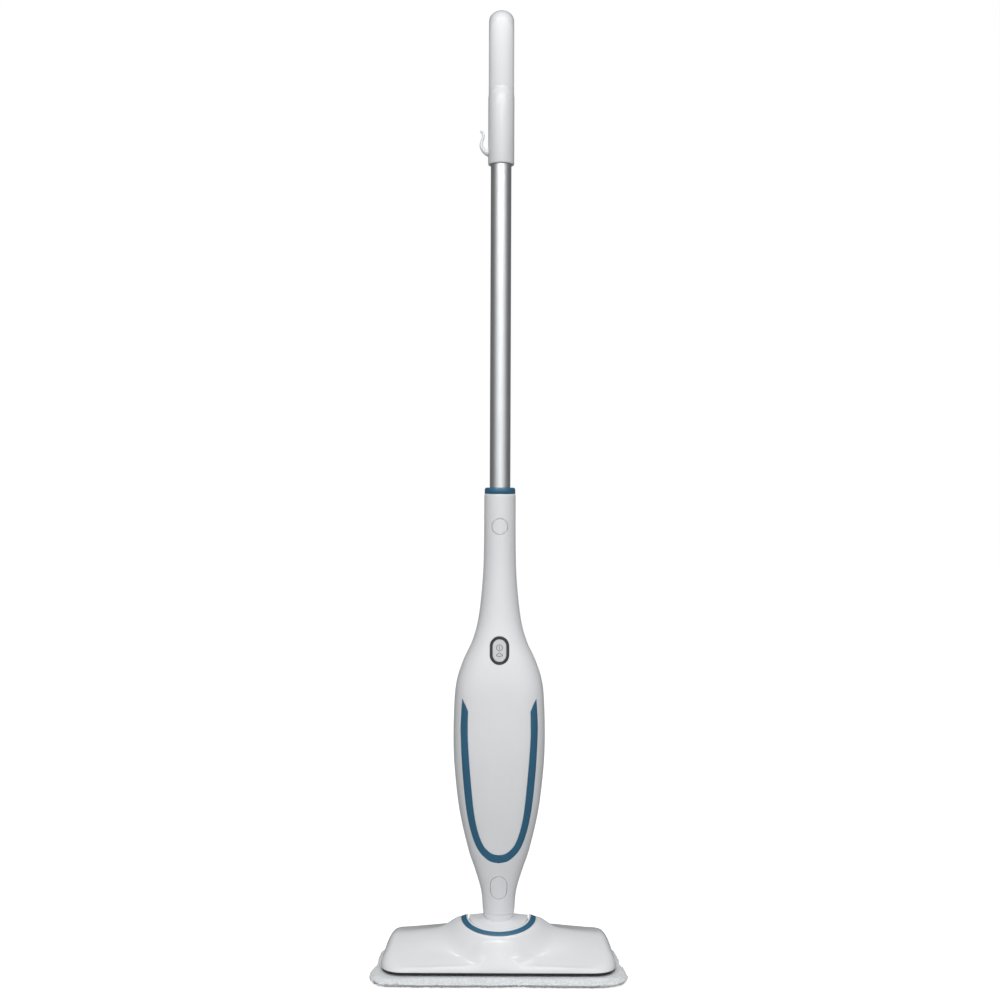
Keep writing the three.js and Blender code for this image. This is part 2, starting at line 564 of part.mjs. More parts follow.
add('head_cover', headCover(), WHITE);
add('head_blue_arc', blueArc(), BLUE);
add('joint_collar', jointCollar(), WHITE);
add('joint_shroud', jointShroud(), WHITE);
add('base_plate', basePlate(), BLACK);
add('floor_pad', slabAlongZ(footprint(PAD), 0, PAD.top, 5), TERRY);
for (const [name, x] of [['left', -95], ['right', 95]]) {
  const strip = box([x - 30, x + 30], [-30, -14], [PAD.top + GAP, PLATE.bottom - GAP]);
  add(`hook_strip_${name}`, strip, LIGHT_GREY);
}
for (const [name, [x, y]] of [['left', HEAD_SCREWS[0]], ['right', HEAD_SCREWS[1]]]) {
  add(`head_screw_${name}`, join(
    rod('z', 3.3, PLATE.bottom + 0.4, PLATE.top - 0.2, x, y, 10),
    rod('z', 1.5, PLATE.top - 1, 26, x, y, 8),
  ), STEEL);
}
add('steam_nozzle', cut(join(
  rod('z', 5, PLATE.bottom, PLATE.top, 0, NOZZLE_Y),
  rod('z', 7, PLATE.top + GAP, PLATE.top + 3, 0, NOZZLE_Y),
  rod('z', 3, PLATE.top, 22, 0, NOZZLE_Y, 12),
), rod('z', 1.6, 0, 19, 0, NOZZLE_Y, 10)), BLACK);
const jointHosePath = [[0, NOZZLE_Y, 22.4], [0, -35.5, 28], [0, -30, 33], [0, -22, 32.4], [0, -16.4, 32]];
add('joint_hose', tubeAlong(jointHosePath, 3.4, 12), RUBBER);

// ---- Tube and handle ----
const LOOP_CENTRE = [[0, 1044], [0, 1119], [11, 1148], [35, 1158], [59, 1146], [70, 1113], [66, 1072],
  [49, 1038], [24, 1023], [6, 1028]];

// The handle's closed loop: an oval section carried round a curve in Y and Z.
function loopSolid(inset) {
  const curve = new THREE.CatmullRomCurve3(LOOP_CENTRE.map(([y, z]) => new THREE.Vector3(0, y, z)), true);
  const [stations, sides] = [30, 14];
  const rows = [];
  for (let i = 0; i < stations; i += 1) {
    const centre = curve.getPointAt(i / stations);
    const ahead = curve.getTangentAt(i / stations);
    const ring = [];
    for (let k = 0; k < sides; k += 1) {
      const turn = (2 * Math.PI * k) / sides;
      const across = (LOOP.halfWidth - inset) * Math.cos(turn);
      const out = (LOOP.halfDepth - inset) * Math.sin(turn);
      ring.push([across, centre.y - ahead.z * out, centre.z + ahead.y * out]);
    }
    rows.push(ring);
  }
  return skin(rows, true);
}

const loop = loopSolid(0);
const coverRoom = (grow) => box([-30, 30], [-40, COVER_SPLIT.y + grow], [COVER_SPLIT.z - grow, 1200]);
const insertRoom = (grow) => box([-9 - grow, 9 + grow], [71, 100], [1066 - grow, 1124 + grow]);
const CLIP = { z: 988, root: 3.4 };
const HOOK_SCREW_Z = 982;

function handleBody() {
  const sleeve = turned([[0, SLEEVE.bottom], [SLEEVE.radius - 0.6, SLEEVE.bottom],
    [SLEEVE.radius, SLEEVE.bottom + 1], [SLEEVE.radius, SLEEVE.top - 12], [SLEEVE.radius - 3, SLEEVE.top],
    [0, SLEEVE.top]], 24);
  return cut(
    join(sleeve, loop),
    coverRoom(GAP).subtract(loopSolid(2.6 + GAP)),
    insertRoom(GAP).subtract(loopSolid(1.6 + GAP)),
    rod('z', TUBE.radius + GAP, SLEEVE.bottom - 2, TUBE.top + 2, 0, 0, 24),
    rod('y', 2.2, 0, 30, 0, HOOK_SCREW_Z, 10),
  );
}

function cordClip() {
  const root = rod('x', CLIP.root, -21, -SLEEVE.radius - 0.2, 0, CLIP.z, 10);
  const hook = tubeAlong([[-17, 0, 988.5], [-20.5, 0, 991], [-23.6, 0, 996], [-24.2, 0, 1002],
    [-21.2, 0, 1007.5], [-22, 0, 1012.5], [-25.6, 0, 1015.6]], 1.5, 14, 6);
  return root.add(hook);
}

function upperCordHook() {
  return cut(join(
    rod('y', 7, SLEEVE.radius + 0.2, SLEEVE.radius + 4, 0, HOOK_SCREW_Z),
    rod('y', 4.6, SLEEVE.radius + 1, 36, 0, HOOK_SCREW_Z, 12),
    box([-6, 6], [34, 38], [HOOK_SCREW_Z - 6, HOOK_SCREW_Z + 20]),
  ), rod('y', 2.2, 0, 60, 0, HOOK_SCREW_Z, 10));
}

function lowerCordHook() {
  const { z, base, plate, reach } = CORD_HOOK;
  return cut(join(
    rod('y', 8.5, base, base + 4.5, 0, z),
    rod('y', 5, base + 1, plate + 1, 0, z, 12),
    box([-7, 7], [plate, plate + 4], [z - reach, z + 6]),
  ), rod('y', 2.7, 0, 80, 0, z, 12));
}

const tubeHole = rod('y', 4, -20, 0, 0, TUBE_BUTTON.z, 12);

add('tube', cut(pipe('z', TUBE.radius, TUBE.radius - TUBE.wall, TUBE.bottom, TUBE.top, 0, 0, 24), tubeHole),
  ALUMINIUM);
add('tube_plug', cut(
  rod('z', TUBE.radius - TUBE.wall - GAP, TUBE.bottom + 4, TUBE_BUTTON.z + 14),
  rod('y', 4.2, -20, 8, 0, TUBE_BUTTON.z, 12),
), BLACK);
add('snap_pin', rod('y', 3.2, -12.2, -3, 0, TUBE_BUTTON.z, 12), STEEL);
add('snap_pin_spring', tubeAlong(Array.from({ length: 19 }, (_, k) => [
  2.4 * Math.cos((k * Math.PI) / 3), -2.2 + k * 0.52, TUBE_BUTTON.z + 2.4 * Math.sin((k * Math.PI) / 3),
]), 0.45, 36, 5), STEEL);
add('tube_socket', cut(
  pipe('z', 15.6, TUBE.radius + GAP, 497, BODY.top - 2, 0, 0, 24),
  rod('y', TUBE_BUTTON.half + 0.6, -30, -5, 0, TUBE_BUTTON.z),
), LIGHT_GREY);
add('top_collar', turned([[13, BODY.top + GAP], [18.6, BODY.top + GAP], [18.6, 580.4], [17, 582], [13, 582],
  [13, BODY.top + GAP]], 28), BLUE);
add('handle_body', handleBody(), WHITE);
add('handle_front_cover', loop.subtract(loopSolid(2.6)).intersect(coverRoom(0)), MATTE_WHITE);
add('grip_insert', loop.subtract(loopSolid(1.6)).intersect(insertRoom(0)), LIGHT_GREY);
add('cord_clip', cordClip(), WHITE);
add('upper_cord_hook', upperCordHook(), WHITE);
const hookScrewHead = rod('y', 3.4, 38.3, 40, 0, HOOK_SCREW_Z, 10).add(rod('y', 1.8, 37, 39, 0, HOOK_SCREW_Z, 8));
add('upper_hook_screw', rod('y', 1.8, 13.6, 38, 0, HOOK_SCREW_Z, 8).add(hookScrewHead), STEEL);
add('lower_cord_hook', lowerCordHook(), WHITE);
add('lower_hook_pin', rod('y', 2.3, 12, CORD_HOOK.plate + 4.4, 0, CORD_HOOK.z, 10)
  .add(rod('y', 4.4, CORD_HOOK.plate + 4.3, CORD_HOOK.plate + 6.5, 0, CORD_HOOK.z, 12)), STEEL);

export default steamMop;
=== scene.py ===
"""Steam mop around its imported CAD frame: smooth shells, terry pad, studio light and camera. Metres."""

import math

import bmesh
import bpy
import numpy as np
from mathutils import Matrix, Vector, noise


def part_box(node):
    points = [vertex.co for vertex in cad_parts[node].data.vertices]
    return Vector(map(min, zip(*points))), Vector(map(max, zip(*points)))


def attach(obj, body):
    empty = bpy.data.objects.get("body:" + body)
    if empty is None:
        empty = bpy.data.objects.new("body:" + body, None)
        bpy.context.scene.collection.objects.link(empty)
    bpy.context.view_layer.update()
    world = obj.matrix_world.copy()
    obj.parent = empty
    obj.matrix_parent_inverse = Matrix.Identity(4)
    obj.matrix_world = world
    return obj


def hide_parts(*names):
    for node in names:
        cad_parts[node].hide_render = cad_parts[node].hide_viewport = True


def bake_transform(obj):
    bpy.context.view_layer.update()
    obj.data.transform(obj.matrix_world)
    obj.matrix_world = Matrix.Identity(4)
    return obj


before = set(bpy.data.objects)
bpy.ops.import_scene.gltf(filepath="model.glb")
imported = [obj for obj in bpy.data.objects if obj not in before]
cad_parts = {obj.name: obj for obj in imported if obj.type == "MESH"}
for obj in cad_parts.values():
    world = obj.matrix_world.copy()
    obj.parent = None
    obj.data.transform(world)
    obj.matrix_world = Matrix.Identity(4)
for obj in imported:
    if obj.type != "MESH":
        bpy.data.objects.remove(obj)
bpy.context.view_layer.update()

MM = 0.001
GAP = 0.3 * MM
# Turned profiles that reach the axis stop at this radius.
AXIS = 0.01 * MM

# ---------------------------------------------------------------- mesh helpers


def new_object(name, mesh):
    piece = bpy.data.objects.new(name, mesh)
    bpy.context.scene.collection.objects.link(piece)
    return piece


def mesh_from(name, places, faces):
    mesh = bpy.data.meshes.new(name)
    mesh.from_pydata([tuple(p) for p in places], [], faces)
    mesh.validate()
    return new_object(name, mesh)


def recalculated(piece):
    """Faces point outwards."""
    work = bmesh.new()
    work.from_mesh(piece.data)
    bmesh.ops.remove_doubles(work, verts=work.verts, dist=1e-6)
    bmesh.ops.recalc_face_normals(work, faces=work.faces)
    work.to_mesh(piece.data)
    work.free()
    return piece


def skin(name, rows, closed=False):
    """A closed solid through rings of points: capped at both ends, or joined end to end."""
    rows = np.asarray(rows, float)
    count, sides = rows.shape[:2]
    places = list(rows.reshape(-1, 3))
    faces = []
    for i in range(count if closed else count - 1):
        j = (i + 1) % count
        for k in range(sides):
            m = (k + 1) % sides
            faces.append((i * sides + k, i * sides + m, j * sides + m, j * sides + k))
    if not closed:
        faces.append(tuple(range(sides - 1, -1, -1)))
        faces.append(tuple((count - 1) * sides + k for k in range(sides)))
    return recalculated(mesh_from(name, places, faces))


def around(count, start=0.0):
    """Evenly spaced directions, once around."""
    return [2 * math.pi * (k + start) / count for k in range(count)]


def turned(name, profile, sides=96):
    """A closed solid of revolution about Z, from [radius, z] points that close on themselves."""
    rows = [[(r * math.cos(turn), r * math.sin(turn), z) for r, z in profile] for turn in around(sides)]
    return skin(name, rows, closed=True)


def rod(name, axis, radius, start, end, a=0.0, b=0.0, sides=64):
    """A round bar along an axis, through (a, b) of the other two, with a small round edge."""
    edge = min(0.4 * MM, radius * 0.2, (end - start) * 0.2)
    flat = radius - edge
    rising, falling = (0.5, 1.05, math.pi / 2), (0.0, 0.5, 1.05)
    steps = [(flat, start)]
    steps += [(flat + edge * math.sin(t), start + edge - edge * math.cos(t)) for t in rising]
    steps += [(flat + edge * math.cos(t), end - edge + edge * math.sin(t)) for t in falling]
    steps += [(flat, end)]
    rows = []
    for r, d in steps:
        ring = []
        for turn in around(sides):
            c, s = a + r * math.cos(turn), b + r * math.sin(turn)
            ring.append({"x": (d, c, s), "y": (c, d, s), "z": (c, s, d)}[axis])
        rows.append(ring)
    return skin(name, rows)


def block(name, x, y, z, bevel=0.0):
    """A box between two places on each axis, its edges rounded by bevel."""
    work = bmesh.new()
    bmesh.ops.create_cube(work, size=1.0)
    for v in work.verts:
        v.co = (
            (x[0] + x[1]) / 2 + v.co.x * (x[1] - x[0]),
            (y[0] + y[1]) / 2 + v.co.y * (y[1] - y[0]),
            (z[0] + z[1]) / 2 + v.co.z * (z[1] - z[0]),
        )
    if bevel:
        bmesh.ops.bevel(work, geom=work.edges[:], offset=bevel, segments=3, affect="EDGES", profile=0.6)
    mesh = bpy.data.meshes.new(name)
    work.to_mesh(mesh)
    work.free()
    return new_object(name, mesh)


def prism(name, outline, axis, start, end):
    """A flat outline drawn out along an axis: of (x, z) points along Y, of (x, y) points along Z."""
    lift = {"y": lambda p, d: (p[0], d, p[1]), "z": lambda p, d: (p[0], p[1], d)}[axis]
    return skin(name, [[lift(p, start) for p in outline], [lift(p, end) for p in outline]])


def applied(piece):
    """Makes the piece's modifiers part of its mesh."""
    bpy.context.view_layer.update()
    ready = piece.evaluated_get(bpy.context.evaluated_depsgraph_get())
    made = bpy.data.meshes.new_from_object(ready)
    piece.modifiers.clear()
    piece.data = made
    return piece


def combined(first, others, operation):
    """Joins, cuts or intersects solids, deletes the others, and keeps the first."""
    for other in others:
        step = first.modifiers.new("step", "BOOLEAN")
        step.operation = operation
        step.solver = "MANIFOLD"
        step.object = other
    applied(first)
    for other in others:
        bpy.data.objects.remove(other)
    return first


def cut(first, *others):
    return combined(first, others, "DIFFERENCE")


def join(first, *others):
    return combined(first, others, "UNION")


def common(first, *others):
    return combined(first, others, "INTERSECT")


def softened(piece, width, segments=2, angle=35):
    """Rounds the sharp edges that cuts leave."""
    step = piece.modifiers.new("edge", "BEVEL")
    step.width = width
    step.segments = segments
    step.limit_method = "ANGLE"
    step.angle_limit = math.radians(angle)
    return applied(piece)


def smooth(piece, angle):
    for face in piece.data.polygons:
        face.use_smooth = True
    piece.data.set_sharp_from_angle(angle=math.radians(angle))


def along(knots, at):
    """A smooth curve through (place, value) knots."""
    last = len(knots) - 1
    i = 0
    while i < last - 1 and at > knots[i + 1][0]:
        i += 1

    def slope(k):
        before, after = knots[max(k - 1, 0)], knots[min(k + 1, last)]
        return (after[1] - before[1]) / (after[0] - before[0])

    span = knots[i + 1][0] - knots[i][0]
    t = min(max((at - knots[i][0]) / span, 0.0), 1.0)
    t2, t3 = t * t, t * t * t
    return (
        knots[i][1] * (2 * t3 - 3 * t2 + 1)
        + slope(i) * span * (t3 - 2 * t2 + t)
        + knots[i + 1][1] * (3 * t2 - 2 * t3)
        + slope(i + 1) * span * (t3 - t2)
    )


def place(piece, body, material, *nodes, angle=32):
    """The piece is shaded smooth, takes its material, rides on its body and stands for its CAD nodes."""
    smooth(piece, angle)
    piece.data.materials.clear()
    piece.data.materials.append(material)
    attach(piece, body)
    if nodes:
        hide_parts(*nodes)


# ---------------------------------------------------------------- materials


def node_material(name):
    """A new material: its node tree, and its main shader."""
    material = bpy.data.materials.new(name)
    material.use_nodes = True
    return material, material.node_tree, material.node_tree.nodes["Principled BSDF"]


def fill_inputs(tree, node, values):
    """Sets each named input to a number or a colour, or wires it to another node's output."""
    for name, value in values.items():
        if isinstance(value, bpy.types.NodeSocket):
            tree.links.new(value, node.inputs[name])
        else:
            node.inputs[name].default_value = value


def noise_texture(tree, scale, detail=4.0, rough=0.55, stretch=(1, 1, 1)):
    """Noise in the object's own space, stretched along its axes."""
    place_node = tree.nodes.new("ShaderNodeTexCoord")
    mapping = tree.nodes.new("ShaderNodeMapping")
    fill_inputs(tree, mapping, {"Scale": stretch, "Vector": place_node.outputs["Object"]})
    texture = tree.nodes.new("ShaderNodeTexNoise")
    fill_inputs(tree, texture, {
        "Scale": scale, "Detail": detail, "Roughness": rough, "Vector": mapping.outputs["Vector"],
    })
    return texture.outputs["Fac"]


def ramp(tree, value, low, high, start=0.35, end=0.65):
    """A value or colour that runs from low to high as the texture runs from start to end."""
    ramp_node = tree.nodes.new("ShaderNodeValToRGB")
    stops = ramp_node.color_ramp.elements
    for stop, shade, position in ((stops[0], low, start), (stops[1], high, end)):
        stop.position = position
        stop.color = (*shade, 1) if hasattr(shade, "__len__") else (shade, shade, shade, 1)
    tree.links.new(value, ramp_node.inputs["Fac"])
    return ramp_node.outputs["Color"]


def bump(tree, value, strength, distance, below=None):
    bump_node = tree.nodes.new("ShaderNodeBump")
    fill_inputs(tree, bump_node, {"Strength": strength, "Distance": distance, "Height": value})
    if below is not None:
        tree.links.new(below, bump_node.inputs["Normal"])
    return bump_node.outputs["Normal"]


def worn_edges(tree, base, edge, amount):
    """The colour turns a little to edge where the surface is sharply convex."""
    geometry = tree.nodes.new("ShaderNodeNewGeometry")
    sharp = ramp(tree, geometry.outputs["Pointiness"], 0.0, amount, 0.58, 0.70)
    mix = tree.nodes.new("ShaderNodeMixRGB")
    fill_inputs(tree, mix, {"Fac": sharp, "Color1": base, "Color2": (*edge, 1)})
    return mix.outputs["Color"]


def spread_colours(colour, spread):
    """A little darker and a little lighter than the colour."""
    return [c * (1 - spread) for c in colour], [min(c * (1 + spread), 1.0) for c in colour]


def moulded_plastic(name, colour, rough, grain=0.02, grain_size=2600.0, coat=0.0, spread=0.03,
                    wear=(1, 1, 1)):
    """Injection-moulded plastic: faint flow marks, slightly uneven gloss, fine grain, rubbed edges."""
    material, tree, shader = node_material(name)
    marks = noise_texture(tree, 40.0, 3.0, stretch=(1, 1, 0.35))
    tinted = ramp(tree, marks, *spread_colours(colour, spread), 0.3, 0.7)
    patches = noise_texture(tree, 60.0, 2.0)
    fine = noise_texture(tree, grain_size, 2.0, 0.5)
    waves = bump(tree, noise_texture(tree, 35.0, 1.0, 0.4), 0.03, 0.0003)
    fill_inputs(tree, shader, {
        "Base Color": worn_edges(tree, tinted, wear, 0.12),
        "Roughness": ramp(tree, patches, max(rough - 0.015, 0.02), rough + 0.03, 0.15, 0.85),
        "Normal": bump(tree, fine, grain, 0.00008, waves),
        "Specular IOR Level": 0.5,
        "Coat Weight": coat,
        "Coat Roughness": 0.06,
    })
    return material


def drawn_metal(name, colour, rough, stretch, spread):
    """Drawn or brushed metal: fine streaks along the stretch, slight stains and a soft gloss."""
    material, tree, shader = node_material(name)
    streaks = noise_texture(tree, 900.0, 6.0, 0.65, stretch)
    stains = noise_texture(tree, 35.0, 4.0, 0.6)
    fill_inputs(tree, shader, {
        "Base Color": ramp(tree, stains, *spread_colours(colour, spread)),
        "Roughness": ramp(tree, streaks, rough - 0.05, rough + 0.07),
        "Normal": bump(tree, streaks, 0.12, 0.00003),
        "Metallic": 1.0,
    })
    return material


def rubber_material(name, colour):
    material, tree, shader = node_material(name)
    dust = noise_texture(tree, 260.0, 6.0, 0.7)
    dusty = [c * 1.8 + 0.004 for c in colour]
    fill_inputs(tree, shader, {
        "Base Color": ramp(tree, dust, colour, dusty, 0.4, 0.75),
        "Roughness": ramp(tree, dust, 0.62, 0.85),
        "Normal": bump(tree, dust, 0.15, 0.0001),
    })
    return material


def tank_material():
    """Smoky clear plastic, slightly scuffed."""
    material, tree, shader = node_material("tank_plastic")
    scuffs = noise_texture(tree, 320.0, 6.0, 0.7, (1, 1, 0.2))
    fill_inputs(tree, shader, {
        "Base Color": ramp(tree, scuffs, (0.60, 0.66, 0.70), (0.66, 0.72, 0.76)),
        "Roughness": ramp(tree, scuffs, 0.10, 0.2, 0.45, 0.8),
        "Transmission Weight": 0.55,
        "IOR": 1.49,
    })
    return material


def circuit_material():
    material, tree, shader = node_material("circuit_board_lacquer")
    where = tree.nodes.new("ShaderNodeTexCoord")
    tracks = tree.nodes.new("ShaderNodeTexBrick")
    fill_inputs(tree, tracks, {
        "Scale": 260.0,
        "Color1": (0.02, 0.11, 0.05, 1),
        "Color2": (0.03, 0.15, 0.07, 1),
        "Mortar": (0.05, 0.2, 0.09, 1),
        "Vector": where.outputs["Object"],
    })
    fill_inputs(tree, shader, {"Base Color": tracks.outputs["Color"], "Roughness": 0.4})
    return material


def terry_material():
    """Looped microfibre: soft sheen, slightly mixed whites, painted shade in the dips of the tuft bumps,
    tiny fibre bumps over the modelled loops.
    """
    material, tree, shader = node_material("microfibre_terry")
    # This noise raises the tuft bumps and also darkens the colour where they dip: painted shade between
    # the loops.
    tufts_and_painted_dip_shade = noise_texture(tree, 420.0, 5.0, 0.7)
    tone = noise_texture(tree, 30.0, 3.0)
    fibres = noise_texture(tree, 2200.0, 4.0, 0.7)
    mix = tree.nodes.new("ShaderNodeMixRGB")
    mix.blend_type = "MULTIPLY"
    fill_inputs(tree, mix, {
        "Fac": 1.0,
        # Painted shade: darker where the tuft bumps are low, lighter on their crowns.
        "Color1": ramp(tree, tufts_and_painted_dip_shade, (0.66, 0.68, 0.69), (0.90, 0.92, 0.93), 0.32, 0.68),
        "Color2": ramp(tree, tone, 0.93, 1.0),
    })
    fill_inputs(tree, shader, {
        "Base Color": mix.outputs["Color"],
        "Roughness": 0.95,
        "Sheen Weight": 0.35,
        "Sheen Roughness": 0.5,
        "Normal": bump(tree, fibres, 0.4, 0.0003, bump(tree, tufts_and_painted_dip_shade, 0.5, 0.0008)),
    })
    return material


SHELL_WHITE = (0.80, 0.81, 0.825)
WHITE = moulded_plastic("white_gloss_plastic", SHELL_WHITE, 0.22, coat=0.35, spread=0.012)
WHITE_SATIN = moulded_plastic("white_satin_plastic", SHELL_WHITE, 0.42, grain=0.04, spread=0.012)
WHITE_MATTE = moulded_plastic("white_matte_plastic", (0.80, 0.805, 0.81), 0.55, grain=0.12, spread=0.012)
BLUE = moulded_plastic("blue_plastic", (0.027, 0.128, 0.225), 0.3, coat=0.25, spread=0.05,
                       wear=(0.12, 0.3, 0.42))
BLACK = moulded_plastic("black_plastic", (0.009, 0.010, 0.013), 0.38, grain=0.1, spread=0.2,
                        wear=(0.05, 0.05, 0.055))
GREY = moulded_plastic("grey_plastic", (0.62, 0.635, 0.65), 0.42, grain=0.08, spread=0.02)
SOFT_GREY = moulded_plastic("soft_grip", (0.52, 0.535, 0.55), 0.7, grain=0.3, grain_size=1400.0)
STEEL = drawn_metal("zinc_steel", (0.56, 0.57, 0.58), 0.34, (1, 1, 0.1), 0.06)
ALUMINIUM = drawn_metal("satin_aluminium", (0.70, 0.71, 0.72), 0.36, (1, 1, 0.015), 0.015)
CASTING = drawn_metal("cast_aluminium", (0.5, 0.51, 0.52), 0.55, (1, 1, 1), 0.1)
RUBBER = rubber_material("black_rubber", (0.016, 0.016, 0.018))
TANK_CLEAR = tank_material()
CIRCUIT = circuit_material()
TERRY = terry_material()


# ---------------------------------------------------------------- studio

CAMERA_DISTANCE = 1.650
CAMERA_HEIGHT = 0.567
LENS = 49.0
CAMERA_ROLL = 0.2


def make_camera():
    """Level, straight in front, its centre half way up the mop, rolled by a fifth of a degree."""
    data = bpy.data.cameras.new("camera")
    data.lens = LENS
    data.sensor_width = 36.0
    data.clip_start, data.clip_end = 0.05, 60.0
    camera = bpy.data.objects.new("camera", data)
    camera.location = (0.0, -CAMERA_DISTANCE, CAMERA_HEIGHT)
    camera.rotation_euler = (math.pi / 2, 0.0, 0.0)
    camera.rotation_euler.rotate_axis("Z", math.radians(CAMERA_ROLL))
    bpy.context.scene.collection.objects.link(camera)
    bpy.context.scene.camera = camera


def light_object(name, kind, aim):
    data = bpy.data.lights.new(name, kind)
    light = bpy.data.objects.new(name, data)
    light.rotation_euler = Vector(aim).to_track_quat("-Z", "Y").to_euler()
    bpy.context.scene.collection.objects.link(light)
    return light, data


def area_light(name, where, aim, size, power, diffuse=True, glossy=True):
    """A rectangular light at a place, turned towards aim, for shading, for reflections or for both."""
    light, data = light_object(name, "AREA", Vector(aim) - Vector(where))
    light.location = where
    light.visible_diffuse, light.visible_glossy = diffuse, glossy
    data.shape = "RECTANGLE"
    data.size, data.size_y = size
    data.energy = power


def sun_light(name, towards, strength, spread):
    _, data = light_object(name, "SUN", towards)
    data.energy = strength
    data.angle = math.radians(spread)


ROOM_LIGHT = 0.162
FRONT_LIGHT = 1.47


def make_room():
    """White surroundings for the eye; for the object, a dim room with a broad soft glow in front."""
    world = bpy.data.worlds.new("studio")
    bpy.context.scene.world = world
    world.use_nodes = True
    tree = world.node_tree
    where = tree.nodes.new("ShaderNodeTexCoord")
    axes = tree.nodes.new("ShaderNodeSeparateXYZ")
    tree.links.new(where.outputs["Generated"], axes.inputs["Vector"])
    glow = axes.outputs["Y"]
    sums = [("MULTIPLY", -1.0), ("MAXIMUM", 0.0), ("POWER", 2.0)]
    sums += [("MULTIPLY", FRONT_LIGHT), ("ADD", ROOM_LIGHT)]
    for operation, number in sums:
        step = tree.nodes.new("ShaderNodeMath")
        step.operation = operation
        step.inputs[1].default_value = number
        tree.links.new(glow, step.inputs[0])
        glow = step.outputs["Value"]
    room = tree.nodes["Background"]
    fill_inputs(tree, room, {"Color": (0.98, 0.99, 1.0, 1), "Strength": glow})
    seen = tree.nodes.new("ShaderNodeBackground")
    seen.inputs["Color"].default_value = (1, 1, 1, 1)
    ray = tree.nodes.new("ShaderNodeLightPath")
    mix = tree.nodes.new("ShaderNodeMixShader")
    tree.links.new(ray.outputs["Is Camera Ray"], mix.inputs["Fac"])
    tree.links.new(room.outputs["Background"], mix.inputs[1])
    tree.links.new(seen.outputs["Background"], mix.inputs[2])
    tree.links.new(mix.outputs["Shader"], tree.nodes["World Output"].inputs["Surface"])


FLOOR_FRONT = -6.0
FLOOR_REACH = 40.0
FLOOR_Z = -0.0002


def make_floor():
    """A plain white floor that throws back little light, so that the sides stay in soft shade."""
    corners = [(-FLOOR_REACH, FLOOR_FRONT), (FLOOR_REACH, FLOOR_FRONT), (FLOOR_REACH, FLOOR_REACH),
               (-FLOOR_REACH, FLOOR_REACH)]
    mesh = bpy.data.meshes.new("floor")
    mesh.from_pydata([(x, y, FLOOR_Z) for x, y in corners], [], [(0, 1, 2, 3)])
    floor = new_object("floor", mesh)
    material, tree, shader = node_material("floor_white")
    seen = tree.nodes.new("ShaderNodeLightPath").outputs["Is Camera Ray"]
    fill_inputs(tree, shader, {
        "Base Color": ramp(tree, seen, 0.3, 0.95, 0.0, 1.0),
        "Emission Strength": ramp(tree, seen, 0.0, 0.6, 0.0, 1.0),
        "Emission Color": (1, 1, 1, 1),
        "Roughness": 0.9,
    })
    mesh.materials.append(material)


def make_studio():
    make_room()
    sun_light("top_fill", (0.0, 0.15, -1.0), 0.35, 70)
    area_light("front_fill", (0.06, -2.1, 1.25), (0.0, 0.0, 0.75), (0.28, 1.5), 9.5, glossy=False)
    area_light("sleeve_strip", (0.04, -2.1, 1.60), (0.0, 0.0, 1.02), (0.11, 0.34), 1.3, diffuse=False)
    area_light("edge_strip", (0.0, -2.6, 2.15), (0.0, 0.0, 0.0), (4.5, 0.13), 15, diffuse=False)
    area_light("over_strip", (0.0, -0.75, 4.0), (0.0, -0.03, 0.0), (3.4, 0.30), 38)
    make_floor()
    bpy.context.scene.view_settings.view_transform = "Standard"


make_camera()
make_studio()

# ---------------------------------------------------------------- body

BODY_LOW, BODY_TOP = (corner.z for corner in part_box("body_front_shell"))
# The body's half width and depths in millimetres at each height, then how square its section is: 2 is an
# ellipse.
BODY_HEIGHTS = [70, 94, 118, 143, 191, 240, 276, 324, 349, 373, 397, 421, 458, 494, 574]
HALF_WIDTH = [19, 21.2, 28, 36.4, 47.4, 53.4, 55.2, 54.2, 51.5, 43.8, 32.8, 26.2, 21.6, 19.5, 18.9]
FRONT_DEPTH = [19, 20.5, 24.5, 29.5, 36.5, 40.5, 41.5, 40.5, 39, 35.5, 30.5, 25.8, 21.6, 19.5, 18.9]
BACK_DEPTH = [19, 22, 29, 38, 48, 53, 54, 51.5, 47.5, 41.5, 33.5, 26.8, 21.8, 19.5, 18.9]
FRONT_FULLNESS = [(70, 2), (118, 2.2), (160, 2.7), (240, 3), (330, 3), (380, 2.6), (440, 2.1), (470, 2),
                  (574, 2)]
BACK_FULLNESS = [(70, 2), (143, 2.2), (300, 2.3), (373, 2.2), (430, 2), (574, 2)]
BODY_SIDES = 144
BODY_STEP = 3 * MM
BODY_WALL = 2.2 * MM


def body_section(z):
    """Half width, front depth, back depth and the two fullnesses at a height, in metres."""
    at = z / MM
    rows = (HALF_WIDTH, FRONT_DEPTH, BACK_DEPTH)
    sizes = [along(list(zip(BODY_HEIGHTS, row)), at) * MM for row in rows]
    return (*sizes, along(FRONT_FULLNESS, at), along(BACK_FULLNESS, at))


def body_solid(name, inset=0.0, low=BODY_LOW, high=BODY_TOP):
    count = max(int(round((high - low) / BODY_STEP)), 1)
    rows = []
    for i in range(count + 1):
        z = low + (high - low) * i / count
        half, front, back, front_power, back_power = body_section(z)
        ring = []
        for turn in around(BODY_SIDES, 0.5):
            c, s = math.cos(turn), math.sin(turn)
            power = 2 / (front_power if s < 0 else back_power)
            depth = (front if s < 0 else back) - inset
            x = (half - inset) * math.copysign(abs(c) ** power, c)
            ring.append((x, depth * math.copysign(abs(s) ** power, s), z))
        rows.append(ring)
    return skin(name, rows)


def front_surface(x, z, inset=0.0):
    """Where the front of the body is, at a place seen from the front."""
    half, front, _, power, _ = body_section(z)
    share = min(abs(x) / (half - inset), 0.999)
    return -(front - inset) * (1 - share**power) ** (1 / power)


